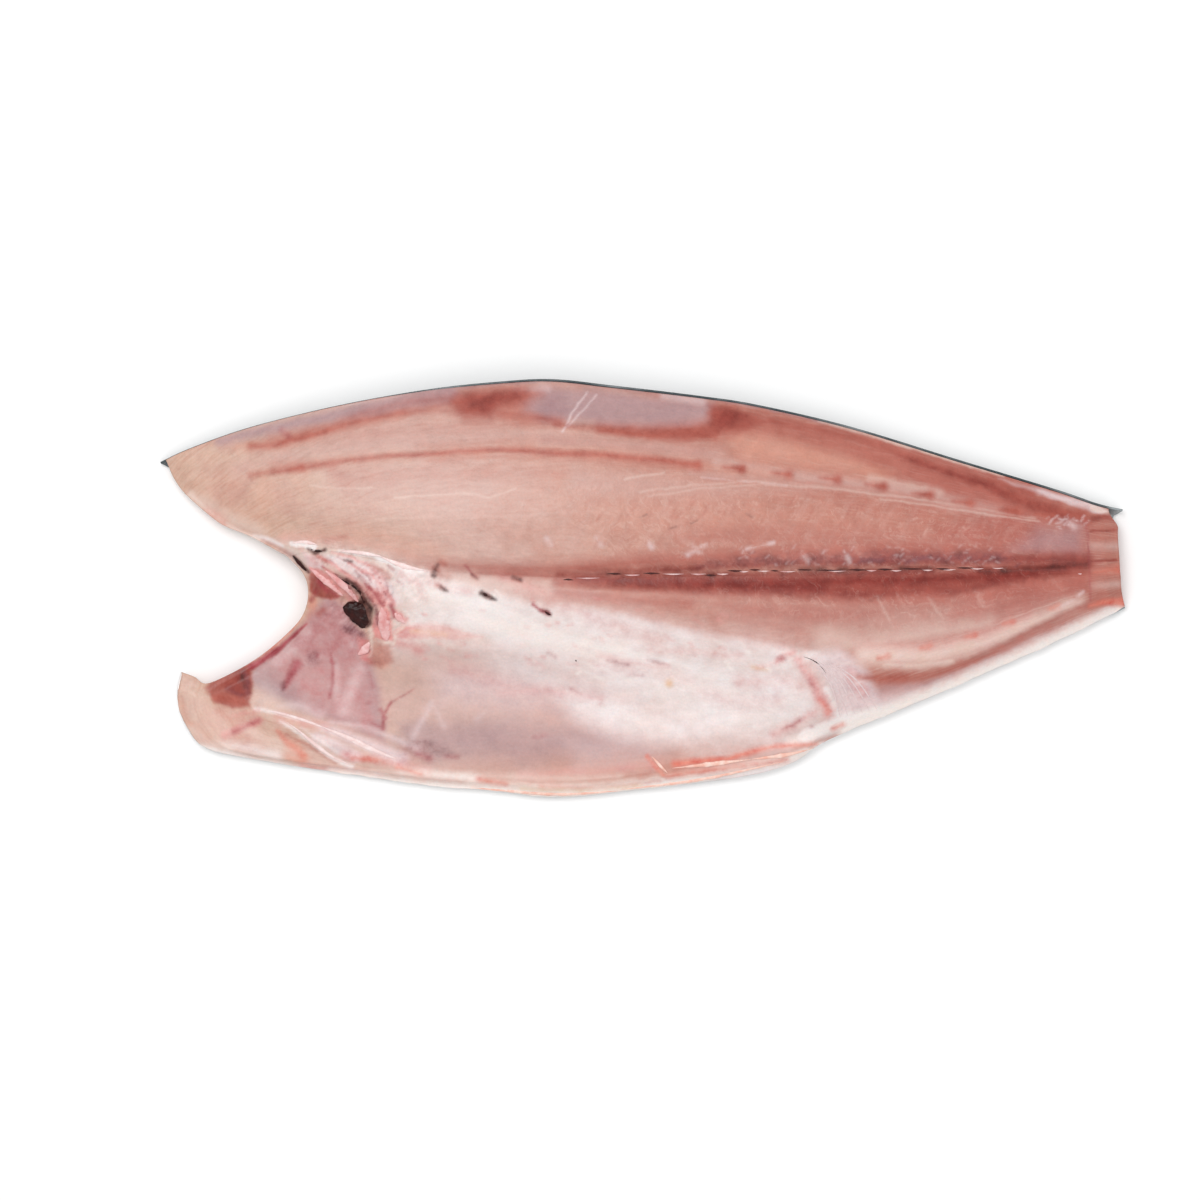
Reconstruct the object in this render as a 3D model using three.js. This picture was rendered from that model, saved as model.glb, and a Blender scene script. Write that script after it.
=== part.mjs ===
// A skin-on side of yellowtail, boned out and lying skin down, as one closed solid in millimetres.
// +X runs from the head end to the tail, +Y from the belly to the back, +Z up from the table.
// The origin is under the middle of the fillet's box, on the table.
import * as THREE from "three";
import { mergeGeometries, mergeVertices } from "three/addons/utils/BufferGeometryUtils.js";

const { lerp, smoothstep } = THREE.MathUtils;

// Driving sizes
const LENGTH = 500; // nape to the end of the tail cut
const LOIN_THICKNESS = 42; // the back loin at its thickest
const FLAP_THICKNESS = 8; // the belly wall, where the ribs came out

// Mesh density
const STEPS_ALONG = 96;
const STEPS_ACROSS = 24; // on each side of the backbone line
const FLANK_RINGS = 3; // rings of the skin side, between the rim and the table
const CROWDING_ACROSS = 0.055;
const CROWDING_ALONG = 0.035;
const MERGE_DISTANCE = 1e-3;
const PLAN_DIVISIONS = 600; // for measuring along an edge

// The plan is drawn at a length of 500 and scaled to LENGTH. Each edge runs from the head end to the
// tail, or from the backbone line outwards.
const DRAWN_LENGTH = 500;
const BACKBONE_LINE = [
  [-183, 17], [-160.5, 19.5], [-132.5, 14], [-104, 9.5], [-63, 6.5], [-1.5, 6], [80.5, 7.5],
  [162.5, 9], [214, 9.5], [246, 10],
];
const BACK_EDGE = [
  [-249.5, 66], [-232.5, 73.5], [-201.5, 84], [-155.5, 95], [-109.5, 103], [-71, 107], [-46, 108],
  [-17, 105], [29.5, 99.5], [59, 95], [106.5, 84], [162.5, 67], [214, 51.5], [234.5, 44.5],
  [248, 41.5],
];
const BELLY_EDGE = [
  [-238.5, -42.5], [-240.5, -53.5], [-237, -68.5], [-225.5, -82], [-196.5, -88.5], [-155.5, -95],
  [-109.5, -101.5], [-78.5, -104], [-45, -107.5], [-1.5, -103.5], [50, -97], [76.5, -90],
  [90, -81], [102, -75], [142, -58.5], [198.5, -34], [229.5, -19.5], [249.5, -9.5],
];
const NAPE_CUT = [
  [-183, 17], [-201.5, 27], [-216, 33], [-225, 39.5], [-232.5, 46], [-244, 57], [-249.5, 66],
];
const GILL_CUT = [
  [-183, 17], [-174.5, 7.5], [-172.5, -3], [-176, -14], [-185, -24], [-198.5, -35], [-213, -43.5],
  [-225.5, -48.5], [-231.5, -45], [-238.5, -42.5],
];
const TAIL_CUT_BACK = [[246, 10], [245, 25.5], [245.5, 33.5], [248, 41.5]];
const TAIL_CUT_BELLY = [[246, 10], [247, -0.5], [249.5, -9.5]];

// Sizes that change along the fillet, at these shares of its length from the head end.
const STATIONS = [0, 0.15, 0.35, 0.55, 0.75, 0.92, 1];
const along = (...values) => {
  const curve = new THREE.CubicInterpolant(STATIONS, values, 1);
  return (u) => curve.evaluate(Math.min(1, Math.max(0, u)))[0];
};
const crestHeight = along(0.34, 0.84, 1, 0.93, 0.7, 0.44, 0.36); // of LOIN_THICKNESS
const CREST_AT = 0.38; // share of the back half's width from the backbone line out to the crest
const backboneHeight = along(0.42, 0.74, 0.84, 0.8, 0.62, 0.41, 0.34); // of LOIN_THICKNESS
const backRim = along(5, 14, 19, 17, 12, 8, 6.5); // height of the back edge above the table
const backUndercut = along(5, 12, 16, 14, 10, 6, 4); // how far the skin turns in under that edge
const bellyRim = along(8, 5, 5, 5, 6, 5.5, 5);
const bellyUndercut = along(7, 4, 3, 3, 5, 4, 3);
const BACK_FALL = 2.6; // how late each cut face falls off towards its rim; 1 would be a straight slope
const BELLY_FALL = 2.2;

// The belly cavity: its upper border leaves the backbone line and reaches the belly edge at the vent.
const CAVITY_END = 0.715; // share of the length where the body wall closes behind the cavity
const CAVITY_END_SPREAD = 0.022;
const cavityBorder = along(0.02, 0.02, 0.03, 0.22, 0.95, 1, 1); // share of the belly half's width
const CAVITY_SLOPE = 0.5; // share of that width from the border down to the flat of the flap
const CAVITY_STEEPER = 0.5; // how much shorter the slope gets as the border nears the belly edge
const BELLY_LIP = 3.5; // how far the flap's trimmed edge curls up
const BELLY_LIP_START = 0.84; // share of the belly half's width
const BELLY_LIP_TOP = 0.97;

const grooveDepth = along(0, 1.2, 3, 3.4, 2.8, 1.6, 1); // left by the backbone
const GROOVE_WIDTH = 0.055; // share of a half's width
const CUT_LEAN = 0.006; // the head and tail cuts lean in by this share of the length
const CUT_ROUND_DROP = 4; // the cut ends' upper edge is rounded down by this much
const CUT_ROUND_REACH = 11; // over this distance
const LEAST_CLEARANCE = 1; // no groove, hollow or rounding goes further than this below the rim

// Strips, folds and hollows on the cut face, each along a line drawn on the plan. A negative height is
// a hollow, and reach is the distance at which it has faded to a third.
const FOLDS = {
  neckSinew: { line: [[-176, 21], [-161, 10], [-150, 0]], height: 3.5, reach: 4.5 },
  neckMembrane: { line: [[-160, 20], [-140, 1], [-130, -16]], height: 3, reach: 4.5 },
  clotHollow: { line: [[-149, -6], [-146, -14]], height: -5, reach: 6.5 },
  tornFlap: { line: [[-138, -19], [-133, -29]], height: 2.6, reach: 4 },
  ribMembraneEdge: { line: [[-126, -27], [-99, -27], [-53, -36]], height: 1.6, reach: 4.5 },
  ventFold: { line: [[75, -34], [87, -42], [94, -54], [97, -67]], height: 2.8, reach: 4.5 },
  bellyFat: { line: [[-60, -101], [-1, -96], [60, -88], [86, -80]], height: 2, reach: 4 },
  throatTendons: { line: [[-202, -61], [-161, -78], [-125, -92]], height: 2.2, reach: 4.5 },
  collarMuscle: { line: [[-216, -51], [-196, -43], [-178, -25]], height: 1.8, reach: 5 },
};
const FOLD_RIM_FADE = 0.97; // folds start to fade out at this share of a half's width

// A point of the curve through the drawn points, at a share of its length.
function edge(drawn) {
  const scale = LENGTH / DRAWN_LENGTH;
  const curve = new THREE.SplineCurve(drawn.map(([x, y]) => new THREE.Vector2(x, y).multiplyScalar(scale)));
  curve.arcLengthDivisions = PLAN_DIVISIONS;
  return (share) => curve.getPointAt(share);
}

// One half of the plan, between the backbone line and an outer edge: a patch stretched over its four
// sides. u runs along the fillet and t from the backbone line out to the edge.
function half(outerEdge, headCut, tailCut) {
  const [inner, outer, head, tail] = [BACKBONE_LINE, outerEdge, headCut, tailCut].map(edge);
  const [innerHead, innerTail, outerHead, outerTail] = [inner(0), inner(1), outer(0), outer(1)];
  return (u, t) => {
    const [a, b, c, d] = [inner(u), outer(u), head(t), tail(t)];
    const blend = (axis) =>
      lerp(a[axis], b[axis], t) +
      lerp(c[axis], d[axis], u) -
      lerp(lerp(innerHead[axis], outerHead[axis], t), lerp(innerTail[axis], outerTail[axis], t), u);
    return new THREE.Vector2(blend("x"), blend("y"));
  };
}
const backHalf = half(BACK_EDGE, NAPE_CUT, TAIL_CUT_BACK);
const bellyHalf = half(BELLY_EDGE, GILL_CUT, TAIL_CUT_BELLY);

// v runs across the fillet: -1 at the belly edge, 0 on the backbone line, 1 at the back edge.
const plan = (u, v) => (v >= 0 ? backHalf(u, v) : bellyHalf(u, -v));

// The cut face of the back loin: it rises from the backbone line to the crest, then falls to the rim.
function loinHeight(u, t) {
  const crest = lerp(backboneHeight(u), crestHeight(u), smoothstep(t, 0, CREST_AT)) * LOIN_THICKNESS;
  const rim = backRim(u);
  return rim + (crest - rim) * (1 - t ** BACK_FALL);
}

// The belly loin, and the hollow of the cavity that is cut down into it.
function bellyHeight(u, t) {
  const rim = bellyRim(u);
  const loin = rim + (backboneHeight(u) * LOIN_THICKNESS - rim) * (1 - t ** BELLY_FALL);
  const lip = smoothstep(t, BELLY_LIP_START, BELLY_LIP_TOP) * (1 - smoothstep(t, BELLY_LIP_TOP, 1));
  const flap = FLAP_THICKNESS + BELLY_LIP * lip;
  const border = cavityBorder(u);
  const inCavity =
    smoothstep(t, border, border + CAVITY_SLOPE * (1 - CAVITY_STEEPER * border)) *
    (1 - smoothstep(u, CAVITY_END - CAVITY_END_SPREAD, CAVITY_END + CAVITY_END_SPREAD));
  return lerp(loin, Math.min(flap, lerp(flap, rim, smoothstep(t, BELLY_LIP_START, 1))), inCavity);
}

function distanceToLine(line, point) {
  let nearest = Infinity;
  for (let k = 1; k < line.length; k++) {
    const closest = new THREE.Line3(line[k - 1], line[k]).closestPointToPoint(point, true, new THREE.Vector3());
    nearest = Math.min(nearest, closest.distanceTo(point));
  }
  return nearest;
}

const foldLines = Object.values(FOLDS).map(({ line, height, reach }) => ({
  line: line.map(([x, y]) => new THREE.Vector3(x, y, 0).multiplyScalar(LENGTH / DRAWN_LENGTH)),
  height,
  reach,
}));

function foldHeight(u, v) {
  const { x, y } = plan(u, v);
  const place = new THREE.Vector3(x, y, 0);
  const total = foldLines.reduce(
    (sum, { line, height, reach }) => sum + height * Math.exp(-((distanceToLine(line, place) / reach) ** 2)),
    0,
  );
  return total * (1 - smoothstep(Math.abs(v), FOLD_RIM_FADE, 1));
}

// The upper edge of the head and tail cuts is rounded down.
function cutDrop(u) {
  const fromCut = Math.min(u, 1 - u) * LENGTH;
  return CUT_ROUND_DROP * (1 - smoothstep(fromCut, 0, CUT_ROUND_REACH)) ** 2;
}

function topHeight(u, v) {
  const groove = grooveDepth(u) * Math.exp(-((v / GROOVE_WIDTH) ** 2));
  const body = v >= 0 ? loinHeight(u, v) : bellyHeight(u, -v);
  const rim = v >= 0 ? backRim(u) : bellyRim(u);
  return Math.max(body - groove + foldHeight(u, v) - cutDrop(u), Math.min(body, rim) - LEAST_CLEARANCE);
}

// The fillet's skin side turns in below the rim along a quarter of an ellipse.
function flankPoint(u, v, turn) {
  const inwards = 1 - Math.cos(turn);
  const width = plan(u, Math.sign(v) || 1).distanceTo(plan(u, 0));
  const undercut = v >= 0 ? backUndercut(u) : bellyUndercut(u);
  const across = v * (1 - (inwards * undercut) / Math.max(width, undercut * 2));
  const lean = CUT_LEAN * inwards;
  const { x, y } = plan(lerp(lean, 1 - lean, u), across);
  return new THREE.Vector3(x, y, topHeight(u, v) * (1 - Math.sin(turn)));
}

// Lines of the grid are closer together at the backbone groove, at both edges and at both cut ends.
const crowd = (share, amount) => share - amount * Math.sin(2 * Math.PI * share);
const acrossAt = (j) => crowd(j / STEPS_ACROSS - 1, CROWDING_ACROSS);
const alongAt = (i) => crowd(i / STEPS_ALONG, CROWDING_ALONG);

// A sheet of triangles over a grid of points; points[i][j] with i along and j across.
function gridSheet(points) {
  const rows = points.length;
  const columns = points[0].length;
  const sheet = new THREE.BufferGeometry().setFromPoints(points.flat());
  const faces = [];
  for (let i = 0; i < rows - 1; i++) {
    for (let j = 0; j < columns - 1; j++) {
      const corner = i * columns + j;
      faces.push(corner, corner + columns, corner + 1);
      faces.push(corner + 1, corner + columns, corner + columns + 1);
    }
  }
  return sheet.setIndex(faces);
}

function fleshFace() {
  const points = [];
  for (let i = 0; i <= STEPS_ALONG; i++) {
    const row = [];
    for (let j = 0; j <= 2 * STEPS_ACROSS; j++) {
      const [u, v] = [alongAt(i), acrossAt(j)];
      const { x, y } = plan(u, v);
      row.push(new THREE.Vector3(x, y, topHeight(u, v)));
    }
    points.push(row);
  }
  return gridSheet(points);
}

// The rim's places, in order round the fillet, as seen from above and turning left.
function rimPlaces() {
  const places = [];
  const last = 2 * STEPS_ACROSS;
  for (let i = 0; i < STEPS_ALONG; i++) places.push([alongAt(i), -1]);
  for (let j = 0; j < last; j++) places.push([1, acrossAt(j)]);
  for (let i = STEPS_ALONG; i > 0; i--) places.push([alongAt(i), 1]);
  for (let j = last; j > 0; j--) places.push([0, acrossAt(j)]);
  return places;
}

function skinFlank(places) {
  const rings = [];
  for (let k = 0; k <= FLANK_RINGS; k++) {
    const turn = (k / FLANK_RINGS) * (Math.PI / 2);
    const ring = places.map(([u, v]) => flankPoint(u, v, turn));
    rings.push([...ring, ring[0].clone()]);
  }
  return gridSheet(rings);
}

function restingFace(places) {
  const foot = places.map(([u, v]) => {
    const { x, y } = flankPoint(u, v, Math.PI / 2);
    return new THREE.Vector2(x, y);
  });
  const face = new THREE.ShapeGeometry(new THREE.Shape(foot));
  const order = [...face.index.array];
  for (let i = 0; i < order.length; i += 3) [order[i], order[i + 1]] = [order[i + 1], order[i]];
  return face.setIndex(order);
}

function fillet() {
  const places = rimPlaces();
  const sheets = [fleshFace(), skinFlank(places), restingFace(places)].map((sheet) => {
    sheet.deleteAttribute("normal");
    sheet.deleteAttribute("uv");
    return sheet;
  });
  const geometry = mergeVertices(mergeGeometries(sheets), MERGE_DISTANCE);
  geometry.computeVertexNormals();
  const flesh = new THREE.MeshStandardMaterial({ color: 0xdca99b, roughness: 0.38, metalness: 0 });
  const mesh = new THREE.Mesh(geometry, flesh);
  mesh.name = "fillet";
  return mesh;
}

const root = new THREE.Group();
root.add(fillet());
export default root;
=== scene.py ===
import bmesh
import bpy
import numpy as np
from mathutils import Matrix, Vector
from mathutils.bvhtree import BVHTree


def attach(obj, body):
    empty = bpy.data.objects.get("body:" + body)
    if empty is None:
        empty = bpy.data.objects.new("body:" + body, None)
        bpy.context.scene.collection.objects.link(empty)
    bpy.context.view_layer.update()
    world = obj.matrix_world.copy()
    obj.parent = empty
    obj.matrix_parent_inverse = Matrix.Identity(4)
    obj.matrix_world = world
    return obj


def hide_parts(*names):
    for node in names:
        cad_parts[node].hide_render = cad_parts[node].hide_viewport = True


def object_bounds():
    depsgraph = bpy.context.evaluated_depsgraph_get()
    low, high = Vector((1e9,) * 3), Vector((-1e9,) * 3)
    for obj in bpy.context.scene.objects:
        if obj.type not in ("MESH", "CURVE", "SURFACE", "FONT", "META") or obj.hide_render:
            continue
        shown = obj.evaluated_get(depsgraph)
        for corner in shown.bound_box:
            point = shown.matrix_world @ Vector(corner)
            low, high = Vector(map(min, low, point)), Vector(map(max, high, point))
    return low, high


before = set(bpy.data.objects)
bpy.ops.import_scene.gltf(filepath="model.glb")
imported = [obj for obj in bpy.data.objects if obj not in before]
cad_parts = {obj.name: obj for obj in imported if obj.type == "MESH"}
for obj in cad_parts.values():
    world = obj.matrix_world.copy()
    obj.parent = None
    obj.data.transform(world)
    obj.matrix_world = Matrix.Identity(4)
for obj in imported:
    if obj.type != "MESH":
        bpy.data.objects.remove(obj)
cadLow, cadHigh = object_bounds()
print("frame loaded")

# The plan of the fillet. Each edge runs from the head end to the tail, or from the backbone line outwards.
plan = {
    "drawnSpan": 499.0,  # from tip to tip, as the outlines below are drawn
    "backbone": [(-183, 17), (-160.5, 19.5), (-132.5, 14), (-104, 9.5), (-63, 6.5), (-1.5, 6), (80.5, 7.5),
                 (162.5, 9), (214, 9.5), (246, 10)],
    "backEdge": [(-249.5, 66), (-232.5, 73.5), (-201.5, 84), (-155.5, 95), (-109.5, 103), (-71, 107),
                 (-46, 108), (-17, 105), (29.5, 99.5), (59, 95), (106.5, 84), (162.5, 67), (214, 51.5),
                 (234.5, 44.5), (248, 41.5)],
    "bellyEdge": [(-238.5, -42.5), (-240.5, -53.5), (-237, -68.5), (-225.5, -82), (-196.5, -88.5),
                  (-155.5, -95), (-109.5, -101.5), (-78.5, -104), (-45, -107.5), (-1.5, -103.5), (50, -97),
                  (76.5, -90), (90, -81), (102, -75), (142, -58.5), (198.5, -34), (229.5, -19.5),
                  (249.5, -9.5)],
    "napeCut": [(-183, 17), (-201.5, 27), (-216, 33), (-225, 39.5), (-232.5, 46), (-244, 57), (-249.5, 66)],
    "gillCut": [(-183, 17), (-174.5, 7.5), (-172.5, -3), (-176, -14), (-185, -24), (-198.5, -35),
                (-213, -43.5), (-225.5, -48.5), (-231.5, -45), (-238.5, -42.5)],
    "tailCutBack": [(246, 10), (245, 25.5), (245.5, 33.5), (248, 41.5)],
    "tailCutBelly": [(246, 10), (247, -0.5), (249.5, -9.5)],
    "stations": [0, 0.15, 0.35, 0.55, 0.75, 0.92, 1],  # shares of the length that the next rows belong to
    "backUndercut": [5, 12, 16, 14, 10, 6, 4],  # how far the skin turns in under the back edge
    "bellyUndercut": [7, 4, 3, 3, 5, 4, 3],
    "cutLean": 0.006,  # the cut ends lean in by this share of the length
}
mm = (cadHigh[0] - cadLow[0]) / plan["drawnSpan"]
photo = {"centre": (643.0, 589.5), "mmPerPixel": 500 / 974, "width": 1200}


def toPart(pixels):
    x, y = np.asarray(pixels, float).T
    return np.stack([x - photo["centre"][0], photo["centre"][1] - y], -1) * photo["mmPerPixel"]


def toPhoto(place):
    x, y = (place / photo["mmPerPixel"]).T
    return np.stack([x + photo["centre"][0], photo["centre"][1] - y], -1)


def smoothCurve(points):  # a Catmull-Rom curve through the points, read by share of its length
    p = np.array([points[0], *points, points[-1]], float)
    t = np.linspace(0, len(points) - 1, 1200)
    i = np.minimum(t.astype(int), len(points) - 2)
    f = (t - i)[:, None]
    a, b, c, d = p[i], p[i + 1], p[i + 2], p[i + 3]
    curve = b + 0.5 * f * (c - a + f * (2 * a - 5 * b + 4 * c - d + f * (3 * b - a - 3 * c + d)))
    gone = np.concatenate([[0], np.cumsum(np.hypot(*np.diff(curve, axis=0).T))])
    return lambda share: np.stack([np.interp(share, gone / gone[-1], curve[:, k]) for k in (0, 1)], -1)


def halfPlan(outerEdge, headCut, tailCut):  # a patch stretched between the backbone line and one edge
    inner, outer, head, tail = (smoothCurve(plan[name]) for name in ("backbone", outerEdge, headCut, tailCut))

    def place(u, t):
        along, across = u[:, None], t[:, None]
        sides = (1 - across) * inner(u) + across * outer(u) + (1 - along) * head(t) + along * tail(t)
        headCorners = (1 - across) * inner(0) + across * outer(0)
        tailCorners = (1 - across) * inner(1) + across * outer(1)
        return sides - (1 - along) * headCorners - along * tailCorners
    return place


backHalf = halfPlan("backEdge", "napeCut", "tailCutBack")
bellyHalf = halfPlan("bellyEdge", "gillCut", "tailCutBelly")


def planAt(u, v):  # v is 1 at the back edge, 0 on the backbone line and -1 at the belly edge
    return np.where((v >= 0)[:, None], backHalf(u, np.abs(v)), bellyHalf(u, np.abs(v)))


def alongRow(name):  # one of the plan's rows, as a smooth function of the share of the length
    t, y = np.array(plan["stations"], float), np.array(plan[name], float)
    rise = np.diff(y) / np.diff(t)
    slope = np.concatenate([rise[:1], (rise[1:] + rise[:-1]) / 2, rise[-1:]])

    def at(u):
        i = np.clip(np.searchsorted(t, u) - 1, 0, len(t) - 2)
        gap = t[i + 1] - t[i]
        p = (np.clip(u, 0, 1) - t[i]) / gap
        return ((2 * p**3 - 3 * p**2 + 1) * y[i] + (p**3 - 2 * p**2 + p) * gap * slope[i]
                + (3 * p**2 - 2 * p**3) * y[i + 1] + (p**3 - p**2) * gap * slope[i + 1])
    return at


backUndercut, bellyUndercut = alongRow("backUndercut"), alongRow("bellyUndercut")


def smooth(x, low, high):
    x = np.clip((x - low) / (high - low), 0, 1)
    return x * x * (3 - 2 * x)


def mix(a, b, share):
    return a + (b - a) * share


def lookDown(tree, place):  # where a ray from above the fillet meets a shape, if it does
    return tree.ray_cast(Vector((*place, cadHigh[2] + 0.1)), Vector((0, 0, -1)))[0]


def solidTop(node):  # the height of a solid's upper face at places on the plan
    bm = bmesh.new()
    bm.from_mesh(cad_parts[node].data)
    bmesh.ops.remove_doubles(bm, verts=bm.verts, dist=1e-6)
    tree = BVHTree.FromBMesh(bm)
    bm.free()

    def at(place):
        heights = np.zeros(len(place))
        for k, (x, y) in enumerate(place * mm):
            hit = lookDown(tree, (x, y))
            if hit is None:
                hit = tree.find_nearest(Vector((x, y, cadLow[2] + 0.01)))[0]
            heights[k] = hit.z / mm
        return heights
    return at


def fieldOver(values):  # reads a field at any share of its two directions, rounding it a little
    def at(a, b):
        total = 0
        steps = [np.clip(share, 0, 1) * (count - 1) for share, count in zip((a, b), values.shape)]
        nearest = [np.rint(step).astype(int) for step in steps]
        offset = [step - near for step, near in zip(steps, nearest)]
        weights = [(0.5 * (0.5 - t) ** 2, 0.75 - t * t, 0.5 * (0.5 + t) ** 2) for t in offset]
        for i, j in np.ndindex(3, 3):
            row = np.clip(nearest[0] + i - 1, 0, values.shape[0] - 1)
            column = np.clip(nearest[1] + j - 1, 0, values.shape[1] - 1)
            total = total + weights[0][i] * weights[1][j] * values[row, column]
        return total
    return at


# How finely the solid is measured, and how far inside its ends and edges, as shares of length and width.
measured = {"along": 220, "across": 181, "insideEnds": 0.003, "insideEdges": 0.008}


def heightField():
    shares = (np.linspace(0, 1, measured["along"]), np.linspace(-1, 1, measured["across"]))
    u, v = np.meshgrid(*shares, indexing="ij")
    ends, edges = measured["insideEnds"], 1 - measured["insideEdges"]
    onSolid = planAt(np.clip(u.ravel(), ends, 1 - ends), np.clip(v.ravel(), -edges, edges))
    return fieldOver(solidTop("fillet")(onSolid).reshape(u.shape))


topField = heightField()


def topOfSolid(u, v):
    return topField(u, (v + 1) / 2)


print("solid measured")


def latticeNoise(x, y, seed):  # smooth noise between -1 and 1, with one bump for each unit
    table = np.random.default_rng(seed).uniform(-1, 1, (256, 256))
    i, j = np.floor(x).astype(int), np.floor(y).astype(int)
    f, g = smooth(x - i, 0, 1), smooth(y - j, 0, 1)
    near = mix(table[i % 256, j % 256], table[(i + 1) % 256, j % 256], f)
    far = mix(table[i % 256, (j + 1) % 256], table[(i + 1) % 256, (j + 1) % 256], f)
    return mix(near, far, g)


def cloudNoise(x, y, seed, octaves=3):  # the same with finer bumps on it, and still about -1 to 1
    return sum(latticeNoise(x * 2**k, y * 2**k, seed + k) / 2**k for k in range(octaves)) / 1.6


def lineDistance(place, points):  # how far each place is from a line, and where along the line
    nearest, share = np.full(len(place), 1e9), np.zeros(len(place))
    for k, (a, b) in enumerate(zip(points[:-1], points[1:])):
        run = b - a
        t = np.clip((place - a) @ run / max(run @ run, 1e-9), 0, 1)
        gap = np.hypot(*(place - a - t[:, None] * run).T)
        share = np.where(gap < nearest, (k + t) / (len(points) - 1), share)
        nearest = np.minimum(nearest, gap)
    return nearest, share


def areaDistance(place, points):  # the distance to an outline, below zero inside it
    gap, _ = lineDistance(place, np.vstack([points, points[:1]]))
    inside = np.zeros(len(place), bool)
    for a, b in zip(points, np.roll(points, -1, axis=0)):
        crosses = (a[1] > place[:, 1]) != (b[1] > place[:, 1])
        share = (place[:, 1] - a[1]) / (b[1] - a[1] + 1e-12)
        inside ^= crosses & (place[:, 0] < a[0] + share * (b[0] - a[0]))
    return np.where(inside, -gap, gap)


def nearLine(place, points, reach):  # which places can a mark reach at all
    low, high = points.min(axis=0) - reach, points.max(axis=0) + reach
    return np.flatnonzero(np.all((place > low) & (place < high), axis=1))


def stroke(points, width, soft, strength):  # a brushed line; width is half its width, or that at both ends
    width = width if isinstance(width, tuple) else (width, width)
    points = np.array(points, float)

    def mask(place):
        shade, near = np.zeros(len(place)), nearLine(place, points, max(width) + soft)
        gap, share = lineDistance(place[near], points)
        half = mix(width[0], width[1], share)
        shade[near] = strength * (1 - smooth(gap, half - soft / 2, half + soft / 2))
        return shade
    return mask


def patch(points, soft, strength):  # a filled outline with a soft edge
    points = np.array(points, float)

    def mask(place):
        shade, near = np.zeros(len(place)), nearLine(place, points, soft)
        shade[near] = strength * (1 - smooth(areaDistance(place[near], points), -soft / 2, soft / 2))
        return shade
    return mask


def painted(lines, fills=()):  # each row holds what stroke() or patch() asks for
    return [stroke(*line) for line in lines] + [patch(*fill) for fill in fills]


def spot(x, y, radius, soft, strength):
    return [(x, y), (x + 0.5, y)], radius, soft, strength


def flecks(corner, size, count, seed, run, half, strength):
    # rows for short strokes strewn over a box, each 0.3 to 1.5 runs long and turned by up to 3 pixels
    places = np.random.default_rng(seed).uniform(0, 1, (count, 4))
    soft, rows = 3.4, []
    for x, y, long, turn in places * [*size, 1.2, 6.0] + [*corner, 0.3, -3.0]:
        tip = (x + run[0] * long, y + run[1] * long + turn)
        rows.append(([(x, y), tip], half * (1.5 - long / 2), soft, strength * (1.3 - long / 2)))
    return rows


# Lines that the markings follow, in the photograph's pixels.
septumLine = [(250, 475), (292, 469), (308, 467), (345, 461), (387, 457), (424, 455.5), (460, 452),
              (500, 450), (545, 454), (597, 455.5), (650, 460), (695, 465.5), (739, 469.5), (786, 475),
              (835, 480), (881, 486.5), (928, 495), (969, 503), (1016, 511), (1053, 515.5)]
septumSpots = septumLine[11:]
bellySpots = [(884, 657), (927, 647), (972, 636), (1010, 622.5), (1056, 608)]
fasciaBorder = [(556, 425), (583, 429), (607, 430), (632, 435), (650, 437), (668, 434), (690, 431),
                (704, 434), (714, 437)]
backDark = [(770, 421), (820, 430), (869, 441), (903, 454), (929, 464), (969, 477), (1008, 493), (1035, 504),
            (1061, 513), (1085, 517)]
bellyDark = [(858, 677), (890, 679), (915, 678), (940, 673), (965, 665), (990, 654), (1016, 640.5),
             (1041, 626.5), (1059, 617.5), (1079, 609), (1104, 601)]
membraneTop = [(290, 545), (330, 551), (350, 554), (390, 562), (418, 569), (440, 576), (470, 585), (500, 593),
               (530, 602), (575, 604), (620, 612), (680, 627), (740, 637), (786, 646), (820, 652)]
membraneFoot = [(x, y + 10) for x, y in membraneTop]

# What is painted on the cut face, in the order in which it covers what is below it. A row is a line's
# points, half its width, the softness of its edge and its strength, or an outline, softness and strength.
markings = {}
markings["pale"] = painted([  # beside the septum line and the bone line, and faint blocks of muscle
    ([(236, 470), (270, 460), (310, 452), (360, 445), (440, 439), (520, 435), (600, 442), (660, 450),
      (715, 456)], (7, 8), 18, 0.6),
    ([(540, 440), (600, 444), (650, 447), (700, 452)], (6, 4), 9, 0.7),
    ([(690, 474), (760, 480), (810, 486), (860, 490), (905, 497), (950, 506), (1000, 515)],
      (3, 2), 10, 0.6),
    ([(715, 462), (760, 471), (810, 478), (860, 484), (905, 490), (950, 499), (1000, 508)],
      (6, 4), 11, 0.8),
    ([(270, 541), (290, 539), (320, 541), (350, 548)], (2, 3), 8, 0.6),
    *[([(x + 8, 486 + (x - 580) / 22), (x - 2, 512), (x - 14, 534), (x - 22, 550)], (0.6, 1.4), 8, 0.3)
     for x in range(570, 1000, 23)],
    *[([(x, 596), (x + 8, 612), (x + 22, 632)], (1.3, 0.5), 8, 0.4) for x in range(690, 1010, 24)],
    *flecks((560, 494), (450, 52), 90, 71, (-8.0, 13.0), 0.8, 0.35),
    *flecks((700, 596), (300, 34), 50, 72, (8.0, 11.0), 0.8, 0.35),
    ([(1092, 546), (1119, 546)], 4, 9, 0.8),
    ([(1094, 586), (1121, 584)], 3, 7, 0.8),
], fills=[
    ([(280, 490), (360, 470), (480, 468), (560, 476), (540, 500), (440, 510), (330, 512)], 40, 0.12),
    ([(700, 602), (790, 604), (900, 608), (1010, 604), (1060, 598), (1000, 622), (940, 640), (860, 648),
      (790, 638), (720, 622)], 30, 0.5),
    ([(570, 470), (640, 474), (720, 484), (800, 490), (720, 498), (640, 500), (570, 492)], 22, 0.6),
])
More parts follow.
